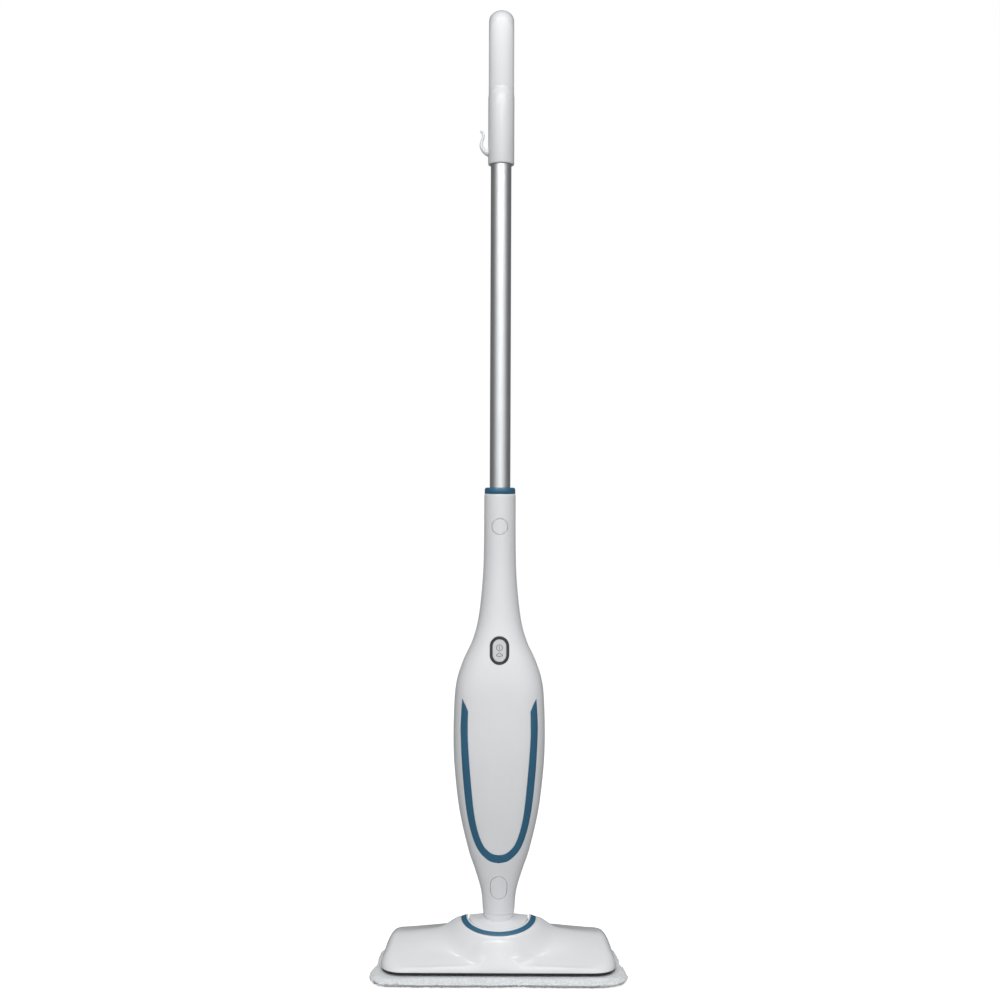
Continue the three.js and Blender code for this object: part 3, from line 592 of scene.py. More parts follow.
def spline(points, per_span=10):
    """Points along a smooth open curve through the given ones."""
    points = [points[0], *points, points[-1]]
    made = []
    for i in range(1, len(points) - 2):
        p0, p1, p2, p3 = (np.array(points[i + n], float) for n in (-1, 0, 1, 2))
        for k in range(per_span):
            t = k / per_span
            made.append(0.5 * (2 * p1 + (p2 - p0) * t + (2 * p0 - 5 * p1 + 4 * p2 - p3) * t * t
                               + (3 * p1 - p0 - 3 * p2 + p3) * t**3))
    made.append(np.array(points[-2], float))
    return made


def oval(half, height, z, steps=24):
    """An outline in X and Z: two half circles and straight sides."""
    straight = height / 2 - half
    turns = [math.pi * k / steps for k in range(steps + 1)]
    upper = [(half * math.cos(t), z + straight + half * math.sin(t)) for t in turns]
    lower = [(-half * math.cos(t), z - straight - half * math.sin(t)) for t in turns]
    return upper + lower


TRIM_OUTER = [(44, 330.5), (45.4, 308), (45.6, 285), (42.7, 236), (37, 188), (27, 154), (13, 137.8),
              (0, 134)]
TRIM_INNER = [(37.2, 316), (37.5, 300), (37.2, 280), (34, 236), (28.7, 188), (20.4, 159), (10, 146.6),
              (0, 143.7)]
TRIM_TIP = [(42.0, 326.4), (40.2, 323.0), (38.7, 319.4)]


def trim_outline(grow=0.0):
    """The U on the front, its arms ending in slanted points; grow widens it all round."""
    tip_lift = np.array([0, 2.2 * grow])

    def arm(points, side):
        half = spline(points, 8)
        moved = []
        for i, p in enumerate(half):
            direction = half[min(i + 1, len(half) - 1)] - half[max(i - 1, 0)]
            normal = np.array([-direction[1], direction[0]]) / np.linalg.norm(direction)
            moved.append(p + normal * side * grow)
        moved[0] = moved[0] + tip_lift
        return moved

    tip = [np.array(p) + tip_lift for p in TRIM_TIP]
    right = arm(TRIM_OUTER, 1)[::-1] + tip + arm(TRIM_INNER, -1)
    ring = right[1:-1] + [np.array([-p[0], p[1]]) for p in right[::-1]]
    return [(p[0] * MM, p[1] * MM) for p in ring]


def seen_size(node):
    """The middle height, half width and height of a CAD node."""
    low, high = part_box(node)
    return (low.z + high.z) / 2, (high.x - low.x) / 2, high.z - low.z


SWITCH_Z, SWITCH_HALF, SWITCH_HEIGHT = seen_size("switch_bezel")
SWITCH_RING = 2.7 * MM
TUBE_BUTTON_Z, TUBE_BUTTON_HALF, _ = seen_size("tube_release_button")
HEAD_BUTTON_Z, _, HEAD_BUTTON_HEIGHT = seen_size("head_release_button")
HEAD_BUTTON_HALF = 9.6 * MM
BUTTON_GAP = 0.5 * MM
FRONT = (-0.08, -0.004)
ACROSS = (-0.09, 0.09)

BODY_SCREWS = [("body_screw_upper", 0.0, 0.440), ("body_screw_lower_left", -0.020, 0.132),
               ("body_screw_lower_right", 0.020, 0.132)]
HOOK_Z = 0.455
INLET_Z = 0.405


def make_front_shell():
    shell = body_solid("body_front_casing")
    inner = body_solid("inner", BODY_WALL, BODY_LOW - 0.003, BODY_TOP + 0.003)
    groove = cut(prism("groove", trim_outline(0.35), "y", *FRONT), body_solid("groove_floor", 1.4 * MM))
    buttons = [(SWITCH_HALF, SWITCH_HEIGHT, SWITCH_Z),
               (TUBE_BUTTON_HALF, 2 * TUBE_BUTTON_HALF, TUBE_BUTTON_Z),
               (HEAD_BUTTON_HALF, HEAD_BUTTON_HEIGHT, HEAD_BUTTON_Z)]
    holes = [prism("button_hole", oval(half + BUTTON_GAP, height + 2 * BUTTON_GAP, z), "y", *FRONT)
             for half, height, z in buttons]
    common(shell, block("front_half", (-0.1, 0.1), (-0.1, -GAP / 2), (0, 0.7)))
    cut(shell, inner, groove, *holes)
    softened(shell, 0.22 * MM)
    place(shell, "body", WHITE_SATIN, "body_front_shell")


TANK_FACE = 0.014
TANK_LOW, TANK_HIGH = 0.150, 0.338
CAP_Z, _, _ = seen_size("tank_cap")
CAP_SEAT = 0.049
PORT_X, PORT_Z = 0.031, 0.168


def tank_room(name, grow):
    return block(name, ACROSS, (TANK_FACE - grow, 0.09), (TANK_LOW - grow, TANK_HIGH + grow))


def make_rear_shell():
    shell = body_solid("body_rear_casing")
    cavity = cut(body_solid("cavity", BODY_WALL, BODY_LOW - 0.003, BODY_TOP + 0.003),
                 tank_room("recess_wall", BODY_WALL))
    common(shell, block("rear_half", (-0.1, 0.1), (GAP / 2, 0.1), (0, 0.7)))
    cut(shell, cavity, tank_room("tank_bay", 0.0))
    bosses = [common(rod("boss", "y", 0.0054, 0.0034, 0.06, x, z), body_solid("inside_skin", 1 * MM))
              for _, x, z in BODY_SCREWS]
    join(shell, *bosses)
    drills = [rod("drill", "y", 0.0019, -0.01, 0.07, x, z) for _, x, z in BODY_SCREWS]
    sinks = [rod("sink", "y", 0.0036, 0.012, 0.07, x, z) for _, x, z in BODY_SCREWS]
    cut(shell, *drills, *sinks, rod("port", "y", 0.0048, 0.0, 0.03, PORT_X, PORT_Z),
        rod("pin_hole", "y", 0.0027, -0.01, 0.07, 0, HOOK_Z),
        rod("inlet", "y", 0.0063, 0.01, 0.07, 0, INLET_Z))
    softened(shell, 0.22 * MM)
    place(shell, "body", WHITE_SATIN, "body_rear_shell")


def make_trim():
    trim = common(prism("blue_u_trim", trim_outline(), "y", *FRONT), body_solid("skin", 0.12 * MM))
    cut(trim, body_solid("under", 1.2 * MM))
    softened(trim, 0.18 * MM)
    place(trim, "body", BLUE, "body_trim")


def front_cap(name, outline, outer, inner):
    """A cap that follows the body's front between two depths."""
    cap = common(prism(name, outline, "y", *FRONT), body_solid("skin", outer, 0.06, BODY_TOP))
    return cut(cap, body_solid("under", inner, 0.05, BODY_TOP))


def make_buttons():
    z = HEAD_BUTTON_Z
    head = front_cap("head_release_key", oval(HEAD_BUTTON_HALF, HEAD_BUTTON_HEIGHT, z), 0.0, BODY_WALL)
    softened(head, 0.4 * MM)
    ring = cut(rod("ring", "z", 0.018, z - 0.003, z + 0.003), rod("hole", "z", 0.0154, z - 0.01, z + 0.01))
    join(head, block("post", (-0.004, 0.004), (-0.0205, -0.0172), (z - 0.003, z + 0.003)), ring,
         block("tooth", (-0.005, 0.005), (0.0124, 0.0162), (z - 0.0015, z + 0.0015)))
    place(head, "head_release_button", WHITE_SATIN, "head_release_button")

    z = TUBE_BUTTON_Z
    tube = front_cap("tube_release_key", oval(TUBE_BUTTON_HALF, 2 * TUBE_BUTTON_HALF, z), 0.0, 1.6 * MM)
    softened(tube, 0.4 * MM)
    join(tube, rod("post", "y", 0.003, -0.0183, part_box("tube_release_button")[1].y, 0, z))
    place(tube, "tube_release_button", WHITE_SATIN, "tube_release_button")


def make_switch():
    hole = SWITCH_HALF - SWITCH_RING
    bezel = front_cap("switch_frame", oval(SWITCH_HALF, SWITCH_HEIGHT, SWITCH_Z), -0.45 * MM, 3 * MM)
    cut(bezel, prism("opening", oval(hole, SWITCH_HEIGHT - 2 * SWITCH_RING, SWITCH_Z), "y", *FRONT))
    softened(bezel, 0.45 * MM, 3)
    place(bezel, "body", BLACK, "switch_bezel")

    outline = oval(hole - BUTTON_GAP, SWITCH_HEIGHT - 2 * SWITCH_RING - 2 * BUTTON_GAP, SWITCH_Z)
    button = front_cap("steam_key", outline, -0.3 * MM, 3 * MM)
    softened(button, 0.6 * MM, 3)
    join(button, rod("post", "y", 0.003, -0.0295, -0.021, 0, SWITCH_Z))
    place(button, "steam_button", GREY, "steam_button")


def inlay(name, strokes, width, inset, body, material):
    """Thin printed strokes that follow the front of the body: open or closed lines of (x, z) points."""
    places, faces = [], []
    for points, closed in strokes:
        points = [np.array(p, float) for p in points]
        count, first = len(points), len(places)
        for i, p in enumerate(points):
            ahead = points[(i + 1) % count] if closed or i + 1 < count else p
            behind = points[i - 1] if closed or i else p
            direction = ahead - behind
            normal = np.array([-direction[1], direction[0]]) / np.linalg.norm(direction) * width / 2
            for side in (1, -1):
                x, z = p + side * normal
                for lift in (0.06 * MM, -0.25 * MM):
                    places.append((x, front_surface(x, z, inset) - lift, z))
        for i in range(count if closed else count - 1):
            a, b = first + 4 * i, first + 4 * ((i + 1) % count)
            for m, n in ((0, 2), (2, 3), (3, 1), (1, 0)):
                faces.append((a + m, a + n, b + n, b + m))
        if not closed:
            end = first + 4 * (count - 1)
            faces += [(first, first + 1, first + 3, first + 2), (end, end + 2, end + 3, end + 1)]
    place(recalculated(mesh_from(name, places, faces)), body, material)


def circle(radius, x, z, steps=28):
    return [(x + radius * math.cos(t), z + radius * math.sin(t)) for t in around(steps)]


PUFF = [(-2.9, -1.2), (-3.5, 0.3), (-2.2, 1.4), (-0.8, 2.7), (1.1, 2.3), (1.9, 1.2), (3.4, 0.7),
        (3.2, -0.8), (1.2, -0.9), (0.4, -1.9), (-0.6, -0.9)]


def make_icons():
    """A generic on mark, a ring with a bar, and a generic puff of steam."""
    high, low = SWITCH_Z + 3.2 * MM, SWITCH_Z - 5.4 * MM
    ring = (circle(3.5 * MM, 0, high), True)
    bar = ([(0, high - 2.0 * MM), (0, high), (0, high + 2.0 * MM)], False)
    puff = (spline([(x * MM, low + z * MM) for x, z in PUFF], 5), True)
    inlay("steam_key_marks", [ring, bar, puff], 0.62 * MM, -0.3 * MM, "steam_button", BLACK)


def make_top_collar():
    low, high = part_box("top_collar")
    r, bore = high.x, 0.013
    profile = [(bore, low.z), (r - 0.0003, low.z), (r, low.z + 0.0003), (r, high.z - 0.0022),
               (r - 0.0003, high.z - 0.0014), (r - 0.0012, high.z - 0.0003), (r - 0.0019, high.z),
               (bore + 0.0003, high.z), (bore, high.z - 0.0003)]
    place(turned("top_ring", profile, 128), "body", BLUE, "top_collar", angle=50)


def make_tank():
    tank = common(body_solid("tank_bottle", 0.15 * MM), tank_room("room", -0.4 * MM))
    hollow = common(body_solid("hollow", 2.15 * MM), tank_room("hollow_room", -2.4 * MM))
    cut(tank, hollow)
    join(tank, common(rod("filler", "y", 0.019, 0.036, 0.06, 0, CAP_Z), body_solid("skin", 0.15 * MM)),
         rod("outlet", "y", 0.004, 0.003, TANK_FACE + 0.001, PORT_X, PORT_Z))
    cut(tank, rod("seat", "y", 0.0166, CAP_SEAT, 0.08, 0, CAP_Z),
        rod("mouth", "y", 0.011, 0.03, 0.08, 0, CAP_Z),
        rod("bore", "y", 0.002, 0.0, 0.02, PORT_X, PORT_Z))
    softened(tank, 0.35 * MM)
    place(tank, "tank", TANK_CLEAR, "water_tank")

    top = CAP_SEAT + 0.006
    cap = join(rod("tank_stopper", "y", 0.016, CAP_SEAT + GAP, top, 0, CAP_Z, 96),
               rod("plug", "y", 0.0106, CAP_SEAT - 0.008, CAP_SEAT + 0.001, 0, CAP_Z))
    dip_depth, dip_height = (CAP_SEAT + 0.0025, 0.08), (CAP_Z - 0.014, CAP_Z + 0.014)
    dips = [common(block("dip", sides, dip_depth, dip_height),
                   rod("dip_round", "y", 0.013, 0.04, 0.08, 0, CAP_Z))
            for sides in ((-0.020, -0.003), (0.003, 0.020))]
    cut(cap, *dips)
    knurls, rim = 36, 0.0163
    cut(cap, *[rod("notch", "y", 0.0007, top - 0.004, top + 0.01, rim * math.cos(turn),
                   CAP_Z + rim * math.sin(turn), 10) for turn in around(knurls, 0.5)])
    softened(cap, 0.3 * MM)
    place(cap, "tank_cap", BLUE, "tank_cap")


def make_screw(name, axis_x, axis_z, head, radius, body, *nodes):
    """A cross-head screw along Y: its head's outer face is at head."""
    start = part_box(nodes[0])[0].y
    screw = rod(name, "y", 0.0015, start, head - 0.001, axis_x, axis_z, 24)
    join(screw, rod("head", "y", radius, head - 0.0026, head, axis_x, axis_z, 48))
    arms = [block("arm", (axis_x - a, axis_x + a), (head - 0.0014, head + 0.001), (axis_z - b, axis_z + b))
            for a, b in ((0.0019, 0.00045), (0.00045, 0.0019))]
    cut(screw, join(*arms))
    place(screw, body, STEEL, *nodes)


def make_body():
    make_front_shell()
    make_rear_shell()
    make_trim()
    make_buttons()
    make_switch()
    make_icons()
    make_top_collar()
    make_tank()
    for name, x, z in BODY_SCREWS:
        make_screw(f"{name}_fine", x, z, 0.015, 0.0032, "body", name)


make_body()


# ---------------------------------------------------------------- head

TILT_Z = 0.032
SWIVEL_Z = 0.050
NECK_RADIUS = 0.0185
ARC_RADIUS = 0.045
ARC_BAND = 0.006
ARC_Z = 0.063
ARC_TILT = math.radians(12)
COLLAR_INNER = 0.0368
COVER_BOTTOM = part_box("head_cover")[0].z
COVER_WALL = 0.0026
COVER = {"front": -0.061, "back": 0.062, "front_half": 0.142, "back_half": 0.133, "corner": 0.030}
PAD = {"front": -0.075, "back": 0.074, "front_half": 0.1565, "back_half": 0.142, "corner": 0.038}
PLATE_LOW, PLATE_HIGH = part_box("base_plate")
WEDGE = [(-61, 20), (-45, 28), (-20, 39), (8, 45.5), (35, 42), (62, 32)]
NOZZLE_Y = -0.036
HEAD_SCREWS = [(-0.100, 0.010), (0.100, 0.010)]


def resampled(points, count):
    """Evenly spaced points along a closed line."""
    points = np.asarray(points, float)
    closed = np.vstack([points, points[:1]])
    steps = np.linalg.norm(np.diff(closed, axis=0), axis=1)
    run = np.concatenate([[0], np.cumsum(steps)])
    at = np.linspace(0, run[-1], count, endpoint=False)
    return [tuple(np.interp(s, run, closed[:, n]) for n in (0, 1)) for s in at]


def footprint(shape, inset=0.0, count=320):
    """The rounded outline of the head, wider in front than behind."""
    low, high = shape["front"] + inset, shape["back"] - inset
    wide, narrow = shape["front_half"] - inset, shape["back_half"] - inset
    lean = (narrow - wide) / (high - low)
    r = shape["corner"] - inset

    def curve(a, control, b, steps=24):
        shares = [k / steps for k in range(steps)]
        return [tuple((1 - t) ** 2 * a[n] + 2 * t * (1 - t) * control[n] + t * t * b[n] for n in (0, 1))
                for t in shares]

    front_side = (wide + lean * r, low + r)
    back_side = (wide + lean * (high - r - low), high - r)
    right = curve((wide - r, low), (wide - 0.12 * r, low + 0.06 * r), front_side)
    right += curve(back_side, (narrow - 0.12 * r, high - 0.06 * r), (narrow - r, high))
    right.append((narrow - r, high))
    left = [(-x, y) for x, y in reversed(right)]
    return resampled(right + left, count)


def arc_height(y):
    return ARC_Z - 0.001 + y * math.sin(ARC_TILT)


def smoothstep(x, low, high):
    t = min(max((x - low) / (high - low), 0.0), 1.0)
    return t * t * (3 - 2 * t)


def cover_height(x, y):
    """A wedge with a dome in front of the neck; behind the neck the dome falls away."""
    forward = min(max(-y / ARC_RADIUS, 0.0), 1.0)
    away = max(math.hypot(x, y) - ARC_RADIUS, 0.0) / MM
    near = 0.75 * math.exp(-((away / (17 - 6 * forward)) ** 2))
    far = 0.25 * math.exp(-((away / (60 - 49 * forward)) ** 2))
    behind = smoothstep(y, 0.002, 0.020)
    eased = sum(along(WEDGE, y / MM + shift) for shift in (-6, -3, 0, 3, 6)) / 5
    wedge = eased * MM * (1 - 0.1 * smoothstep(abs(x), 0.040, 0.130))
    dome = arc_height(min(max(y, -ARC_RADIUS), 0.0)) - wedge
    return wedge + dome * (near * (1 - behind) + far * (1 - 0.6 * behind))


def cover_ring(edges, share, drop, hub):
    ring = []
    for ex, ey in edges:
        turn = math.atan2(2 * ey, ex)
        x = ex + (hub * math.cos(turn) - ex) * share
        y = ey + (hub * math.sin(turn) - ey) * share
        softness = 0.006 + 0.008 * smoothstep(abs(ex), 0.090, 0.130)
        inward = min(math.hypot(x - ex, y - ey) / softness, 1.0)
        rise = math.sqrt(1 - (1 - inward) ** 2)
        z = COVER_BOTTOM + (cover_height(x, y) - COVER_BOTTOM) * rise - drop
        ring.append((x, y, max(z, COVER_BOTTOM)))
    return ring


NOTCH_START = 0.002
NOTCH_HALF = 0.038
NOTCH_FLOOR = 0.019


def neck_notch(grow=0.0):
    """The room behind the neck, where the pole leans back and swings."""
    spread = math.tan(math.radians(20))
    start, end = NOTCH_START - grow, 0.090
    near, far = NOTCH_HALF + grow + start * spread, NOTCH_HALF + grow + end * spread
    outline = [(-near, start), (near, start), (far, end), (-far, end)]
    return prism("notch", outline, "z", NOTCH_FLOOR - grow, 0.100)


def make_head_cover():
    steps = 52
    hub = ARC_RADIUS + 0.2 * MM
    outer_edge = footprint(COVER)
    inner_edge = footprint(COVER, COVER_WALL)
    shares = [(i / steps) ** 2 for i in range(steps + 1)]
    top = [cover_ring(outer_edge, share, 0.0, hub) for share in shares]
    under = [cover_ring(inner_edge, share, COVER_WALL if share else 0.0, hub) for share in shares]
    cover = skin("head_cover_casing", top + under[::-1], closed=True)
    recess = cut(neck_notch(COVER_WALL), neck_notch(), rod("hub", "z", hub, 0.0, 0.1, 0, 0, 96))
    common(recess, skin("whole_cover", top), block("behind", ACROSS, (0.016, 0.09), (0.0, 0.1)))
    cut(cover, neck_notch())
    join(cover, recess)
    softened(cover, 0.4 * MM, 2, 50)
    place(cover, "head", WHITE, "head_cover", angle=40)


def leant(piece, pivot=ARC_Z):
    """Tips a piece about X at the pivot's height, front edge down, as far as the arc leans."""
    centre = Matrix.Translation((0, 0, pivot))
    piece.data.transform(centre @ Matrix.Rotation(ARC_TILT, 4, "X") @ centre.inverted())
    return piece


def behind_neck():
    return block("behind", ACROSS, (NOTCH_START, 0.09), (0.0, 0.2))


def make_arc_and_collar():
    inner, outer, z = ARC_RADIUS - ARC_BAND, ARC_RADIUS, ARC_Z
    profile = [(inner, z - 0.004), (outer, z - 0.005), (outer, z - 0.0014), (outer - 0.0002, z - 0.0010),
               (outer - 0.0008, z - 0.0007), (inner + 0.0004, z + 0.0010), (inner, z + 0.0007)]
    arc = leant(turned("blue_arc_band", profile, 192))
    cut(arc, behind_neck())
    softened(arc, 0.25 * MM, 2, 60)
    place(arc, "head", BLUE, "head_blue_arc", angle=45)

    outer, inner, rim = inner - 0.15 * MM, COLLAR_INNER, z + 0.0015
    low = rim - 0.0025
    slope = [(outer, low), (outer, rim - 0.0006), (outer - 0.0003, rim - 0.0002), (inner + 0.0006, rim),
             (inner + 0.0001, rim - 0.0002), (inner, rim - 0.0006), (inner, low)]
    collar = leant(turned("neck_collar", slope, 192))
    cut(collar, behind_neck())
    place(collar, "head", WHITE_SATIN, "joint_collar", angle=45)


def make_shroud():
    """The cover around the neck, sloping to the front; it swings with the neck inside the collar."""
    r, swing, top, bottom, wall, back = 0.0354, 0.038, 0.0652, 0.054, 0.002, 0.002
    rim, root, fall = r + 0.008, bottom - 0.02, 0.0023

    def leaning(drop):
        profile = [(AXIS, root), (rim, root), (rim, top - fall - drop), (NECK_RADIUS, top - drop),
                   (AXIS, top - drop)]
        return leant(turned("cone", profile, 128), top)

    def room(inset, low):
        return common(rod("room", "z", r - inset, low, 0.09, 0, 0, 160),
                      rod("swing", "y", swing - inset, -0.05, back, 0, SWIVEL_Z, 160))

    shroud = common(leaning(0.0), room(0.0, bottom))
    hollow = common(leaning(wall), room(wall, bottom - wall))
    cut(shroud, hollow, rod("neck_hole", "z", NECK_RADIUS + 0.15 * MM, 0.0, 0.1, 0, 0, 128))
    softened(shroud, 0.7 * MM, 3, 35)
    place(shroud, "neck", WHITE, "joint_shroud", angle=40)


def make_base_plate():
    outline = footprint(COVER, 1.2 * MM)
    plate = prism("base_tray", outline, "z", PLATE_LOW.z, PLATE_HIGH.z)
    holes = [rod("hole", "z", 0.0037, 0.0, 0.030, x, y, 32) for x, y in HEAD_SCREWS]
    cut(plate, *holes, rod("nozzle_hole", "z", 0.0053, 0.0, 0.030, 0, NOZZLE_Y, 32))
    softened(plate, 0.5 * MM, 2, 50)
    place(plate, "head", BLACK, "base_plate", angle=40)


def make_hinge():
    floor_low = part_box("hinge_bracket")[0].z
    foot = (floor_low, floor_low + 0.0027)
    bracket = block("hinge_base", (-0.031, 0.031), (-0.014, 0.014), foot, 0.5 * MM)
    for start, end in ((-0.031, -0.025), (0.025, 0.031)):
        join(bracket, rod("ear", "x", 0.008, start, end, 0, TILT_Z),
             block("ear_foot", (start, end), (-0.008, 0.008), (floor_low, TILT_Z)))
    cut(bracket, rod("pin_bore", "x", 0.0033, -0.04, 0.04, 0, TILT_Z))
    place(bracket, "head", BLACK, "hinge_bracket")

    pin = rod("tilt_axle", "x", 0.003, -0.032, 0.032, 0, TILT_Z)
    place(pin, "head", STEEL, "tilt_pin")

    yoke = rod("swivel_yoke", "x", 0.009, -0.0246, 0.0246, 0, TILT_Z, 96)
    for start, end in ((-0.011, -0.007), (0.007, 0.011)):
        join(yoke, rod("cheek", "y", 0.009, start, end, 0, SWIVEL_Z),
             block("cheek_web", (-0.009, 0.009), (start, end), (TILT_Z, SWIVEL_Z)))
    join(yoke, rod("spigot", "y", 0.003, -0.016, -0.008, 0, TILT_Z))
    cut(yoke, block("slot", (-0.012, 0.012), (-0.007, 0.007), (TILT_Z + 0.0091, SWIVEL_Z + 0.020)),
        rod("tilt_bore", "x", 0.0033, -0.03, 0.03, 0, TILT_Z),
        rod("swivel_bore", "y", 0.0033, -0.012, 0.012, 0, SWIVEL_Z))
    softened(yoke, 0.4 * MM, 2, 50)
    place(yoke, "yoke", BLACK, "yoke", angle=40)

    axle = rod("swivel_axle", "y", 0.003, -0.012, 0.012, 0, SWIVEL_Z)
    place(axle, "yoke", STEEL, "swivel_pin")


def make_neck():
    low, high = 0.060, 0.0697
    r, spigot, top, seal_z = NECK_RADIUS, 0.012, 0.112, 0.090
    profile = [(AXIS, low), (r - 0.001, low), (r - 0.0003, low + 0.0003), (r, low + 0.001),
               (r, high - 0.0005), (r - 0.0005, high), (spigot, high), (spigot, top - 0.001),
               (spigot - 0.001, top), (AXIS, top)]
    neck = turned("neck_socket", profile, 128)
    join(neck, rod("tongue", "y", 0.0085, -0.0067, 0.0067, 0, SWIVEL_Z),
         block("tongue_root", (-0.0085, 0.0085), (-0.0067, 0.0067), (SWIVEL_Z, low + 0.002)))
    grooves = [cut(rod("groove", "z", 0.014, z - 0.0022, z + 0.0022),
                   rod("core", "z", 0.010, z - 0.01, z + 0.01)) for z in (seal_z, HEAD_BUTTON_Z)]
    cut(neck, *grooves, rod("steam_way", "z", 0.0032, 0.080, 0.120),
        rod("bore", "y", 0.0033, -0.008, 0.008, 0, SWIVEL_Z))
    place(neck, "neck", WHITE, "neck", angle=40)
    seal = turned("neck_o_ring", [(0.0116 + 0.0012 * math.cos(t), seal_z + 0.0016 * math.sin(t))
                                  for t in around(16)])
    place(seal, "neck", RUBBER, "neck_seal_ring", angle=80)


def tube_along(name, points, radius, per_span=6, sides=24, taper=None):
    """A round tube through the points, carried along without twisting."""
    centres = spline(points, per_span)
    turn_from = None
    rows = []
    for i, centre in enumerate(centres):
        ahead = centres[min(i + 1, len(centres) - 1)] - centres[max(i - 1, 0)]
        ahead = Vector(ahead).normalized()
        if turn_from is None:
            turn_from = ahead.orthogonal().normalized()
        turn_from = (turn_from - ahead * turn_from.dot(ahead)).normalized()
        across = ahead.cross(turn_from)
        r = radius * (taper(i / (len(centres) - 1)) if taper else 1.0)
        ring = []
        for t in around(sides):
            p = Vector(centre) + turn_from * (r * math.cos(t)) + across * (r * math.sin(t))
            ring.append(tuple(p))
        rows.append(ring)
    return skin(name, rows)


def make_joint_hose():
    """The soft steam hose from the nozzle to the yoke, laid in one fixed bend."""
    route = [(0, NOZZLE_Y, 0.0224), (0, -0.0355, 0.028), (0, -0.030, 0.033), (0, -0.022, 0.0324),
             (0, -0.0164, 0.032)]
    hose = tube_along("bending_steam_hose", route, 0.0034, 10, 32)
    smooth(hose, 60)
    hose.data.materials.append(RUBBER)
    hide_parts("joint_hose")
    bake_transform(hose)


def make_head():
    make_head_cover()
    make_arc_and_collar()
    make_base_plate()
    make_hinge()
    make_neck()
    make_shroud()
    make_joint_hose()


make_head()

# ---------------------------------------------------------------- pole and handle

TUBE_LOW, TUBE_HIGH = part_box("tube")
TUBE_RADIUS = TUBE_HIGH.x
TUBE_WALL = 1.3 * MM
SLEEVE_RADIUS = 0.0158
SLEEVE_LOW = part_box("handle_body")[0].z
SLEEVE_HIGH = 1.066
LOOP_HALF = (0.0153, 0.0126)
LOOP_CENTRE = [(0, 1044), (0, 1119), (11, 1148), (35, 1158), (59, 1146), (70, 1113), (66, 1072),
               (49, 1038), (24, 1023), (6, 1028)]
COVER_SPLIT = (-0.003, 1.066)
HOOK_SCREW_Z = 0.982


def closed_spline(points, per_span):
    """Points along a smooth closed curve, with its centripetal shape kept close to the knots."""
    count = len(points)
    made = []
    for i in range(count):
        p = [np.array(points[(i + n) % count], float) for n in (-1, 0, 1, 2)]
        gaps = [max(np.linalg.norm(p[n + 1] - p[n]), 1e-9) ** 0.5 for n in range(3)]
        t0, t1, t2, t3 = 0.0, gaps[0], gaps[0] + gaps[1], sum(gaps)
        for k in range(per_span):
            t = t1 + (t2 - t1) * k / per_span
            a1 = (t1 - t) / (t1 - t0) * p[0] + (t - t0) / (t1 - t0) * p[1]
            a2 = (t2 - t) / (t2 - t1) * p[1] + (t - t1) / (t2 - t1) * p[2]
            a3 = (t3 - t) / (t3 - t2) * p[2] + (t - t2) / (t3 - t2) * p[3]
            b1 = (t2 - t) / (t2 - t0) * a1 + (t - t0) / (t2 - t0) * a2
            b2 = (t3 - t) / (t3 - t1) * a2 + (t - t1) / (t3 - t1) * a3
            made.append((t2 - t) / (t2 - t1) * b1 + (t - t1) / (t2 - t1) * b2)
    return made


def loop_solid(name, inset=0.0):
    """The handle's closed loop: an oval section carried round a curve in Y and Z."""
    sides = 64
    centres = [np.array(p) * MM for p in resampled(closed_spline(LOOP_CENTRE, 24), 150)]
    count = len(centres)
    rows = []
    for i, centre in enumerate(centres):
        ahead = centres[(i + 1) % count] - centres[i - 1]
        ahead = ahead / np.linalg.norm(ahead)
        ring = []
        for turn in around(sides):
            across = (LOOP_HALF[0] - inset) * math.cos(turn)
            out = (LOOP_HALF[1] - inset) * math.sin(turn)
            ring.append((across, centre[0] - ahead[1] * out, centre[1] + ahead[0] * out))
        rows.append(ring)
    return skin(name, rows, closed=True)


def cover_room(grow):
    """Where the front cover lies: a panel with rounded lower corners."""
    y, z = COVER_SPLIT
    half, corner = 0.030, 0.009
    z -= grow
    side = [(half, 1.20), (half, z + corner)]
    foot = [(0.0125 + 0.004 * math.cos(t), z + 0.004 + 0.004 * math.sin(t))
            for t in [-math.pi / 2 * k / 8 for k in range(1, 9)]]
    outline = side + [(0.0165 + grow, z + corner)] + foot
    ring = outline + [(-a, b) for a, b in reversed(outline)]
    return prism("cover_room", ring, "y", -0.04, y + grow)


def insert_room(grow):
    width, height = (-0.009 - grow, 0.009 + grow), (1.066 - grow, 1.124 + grow)
    return block("insert_room", width, (0.071, 0.100), height, 0.002)


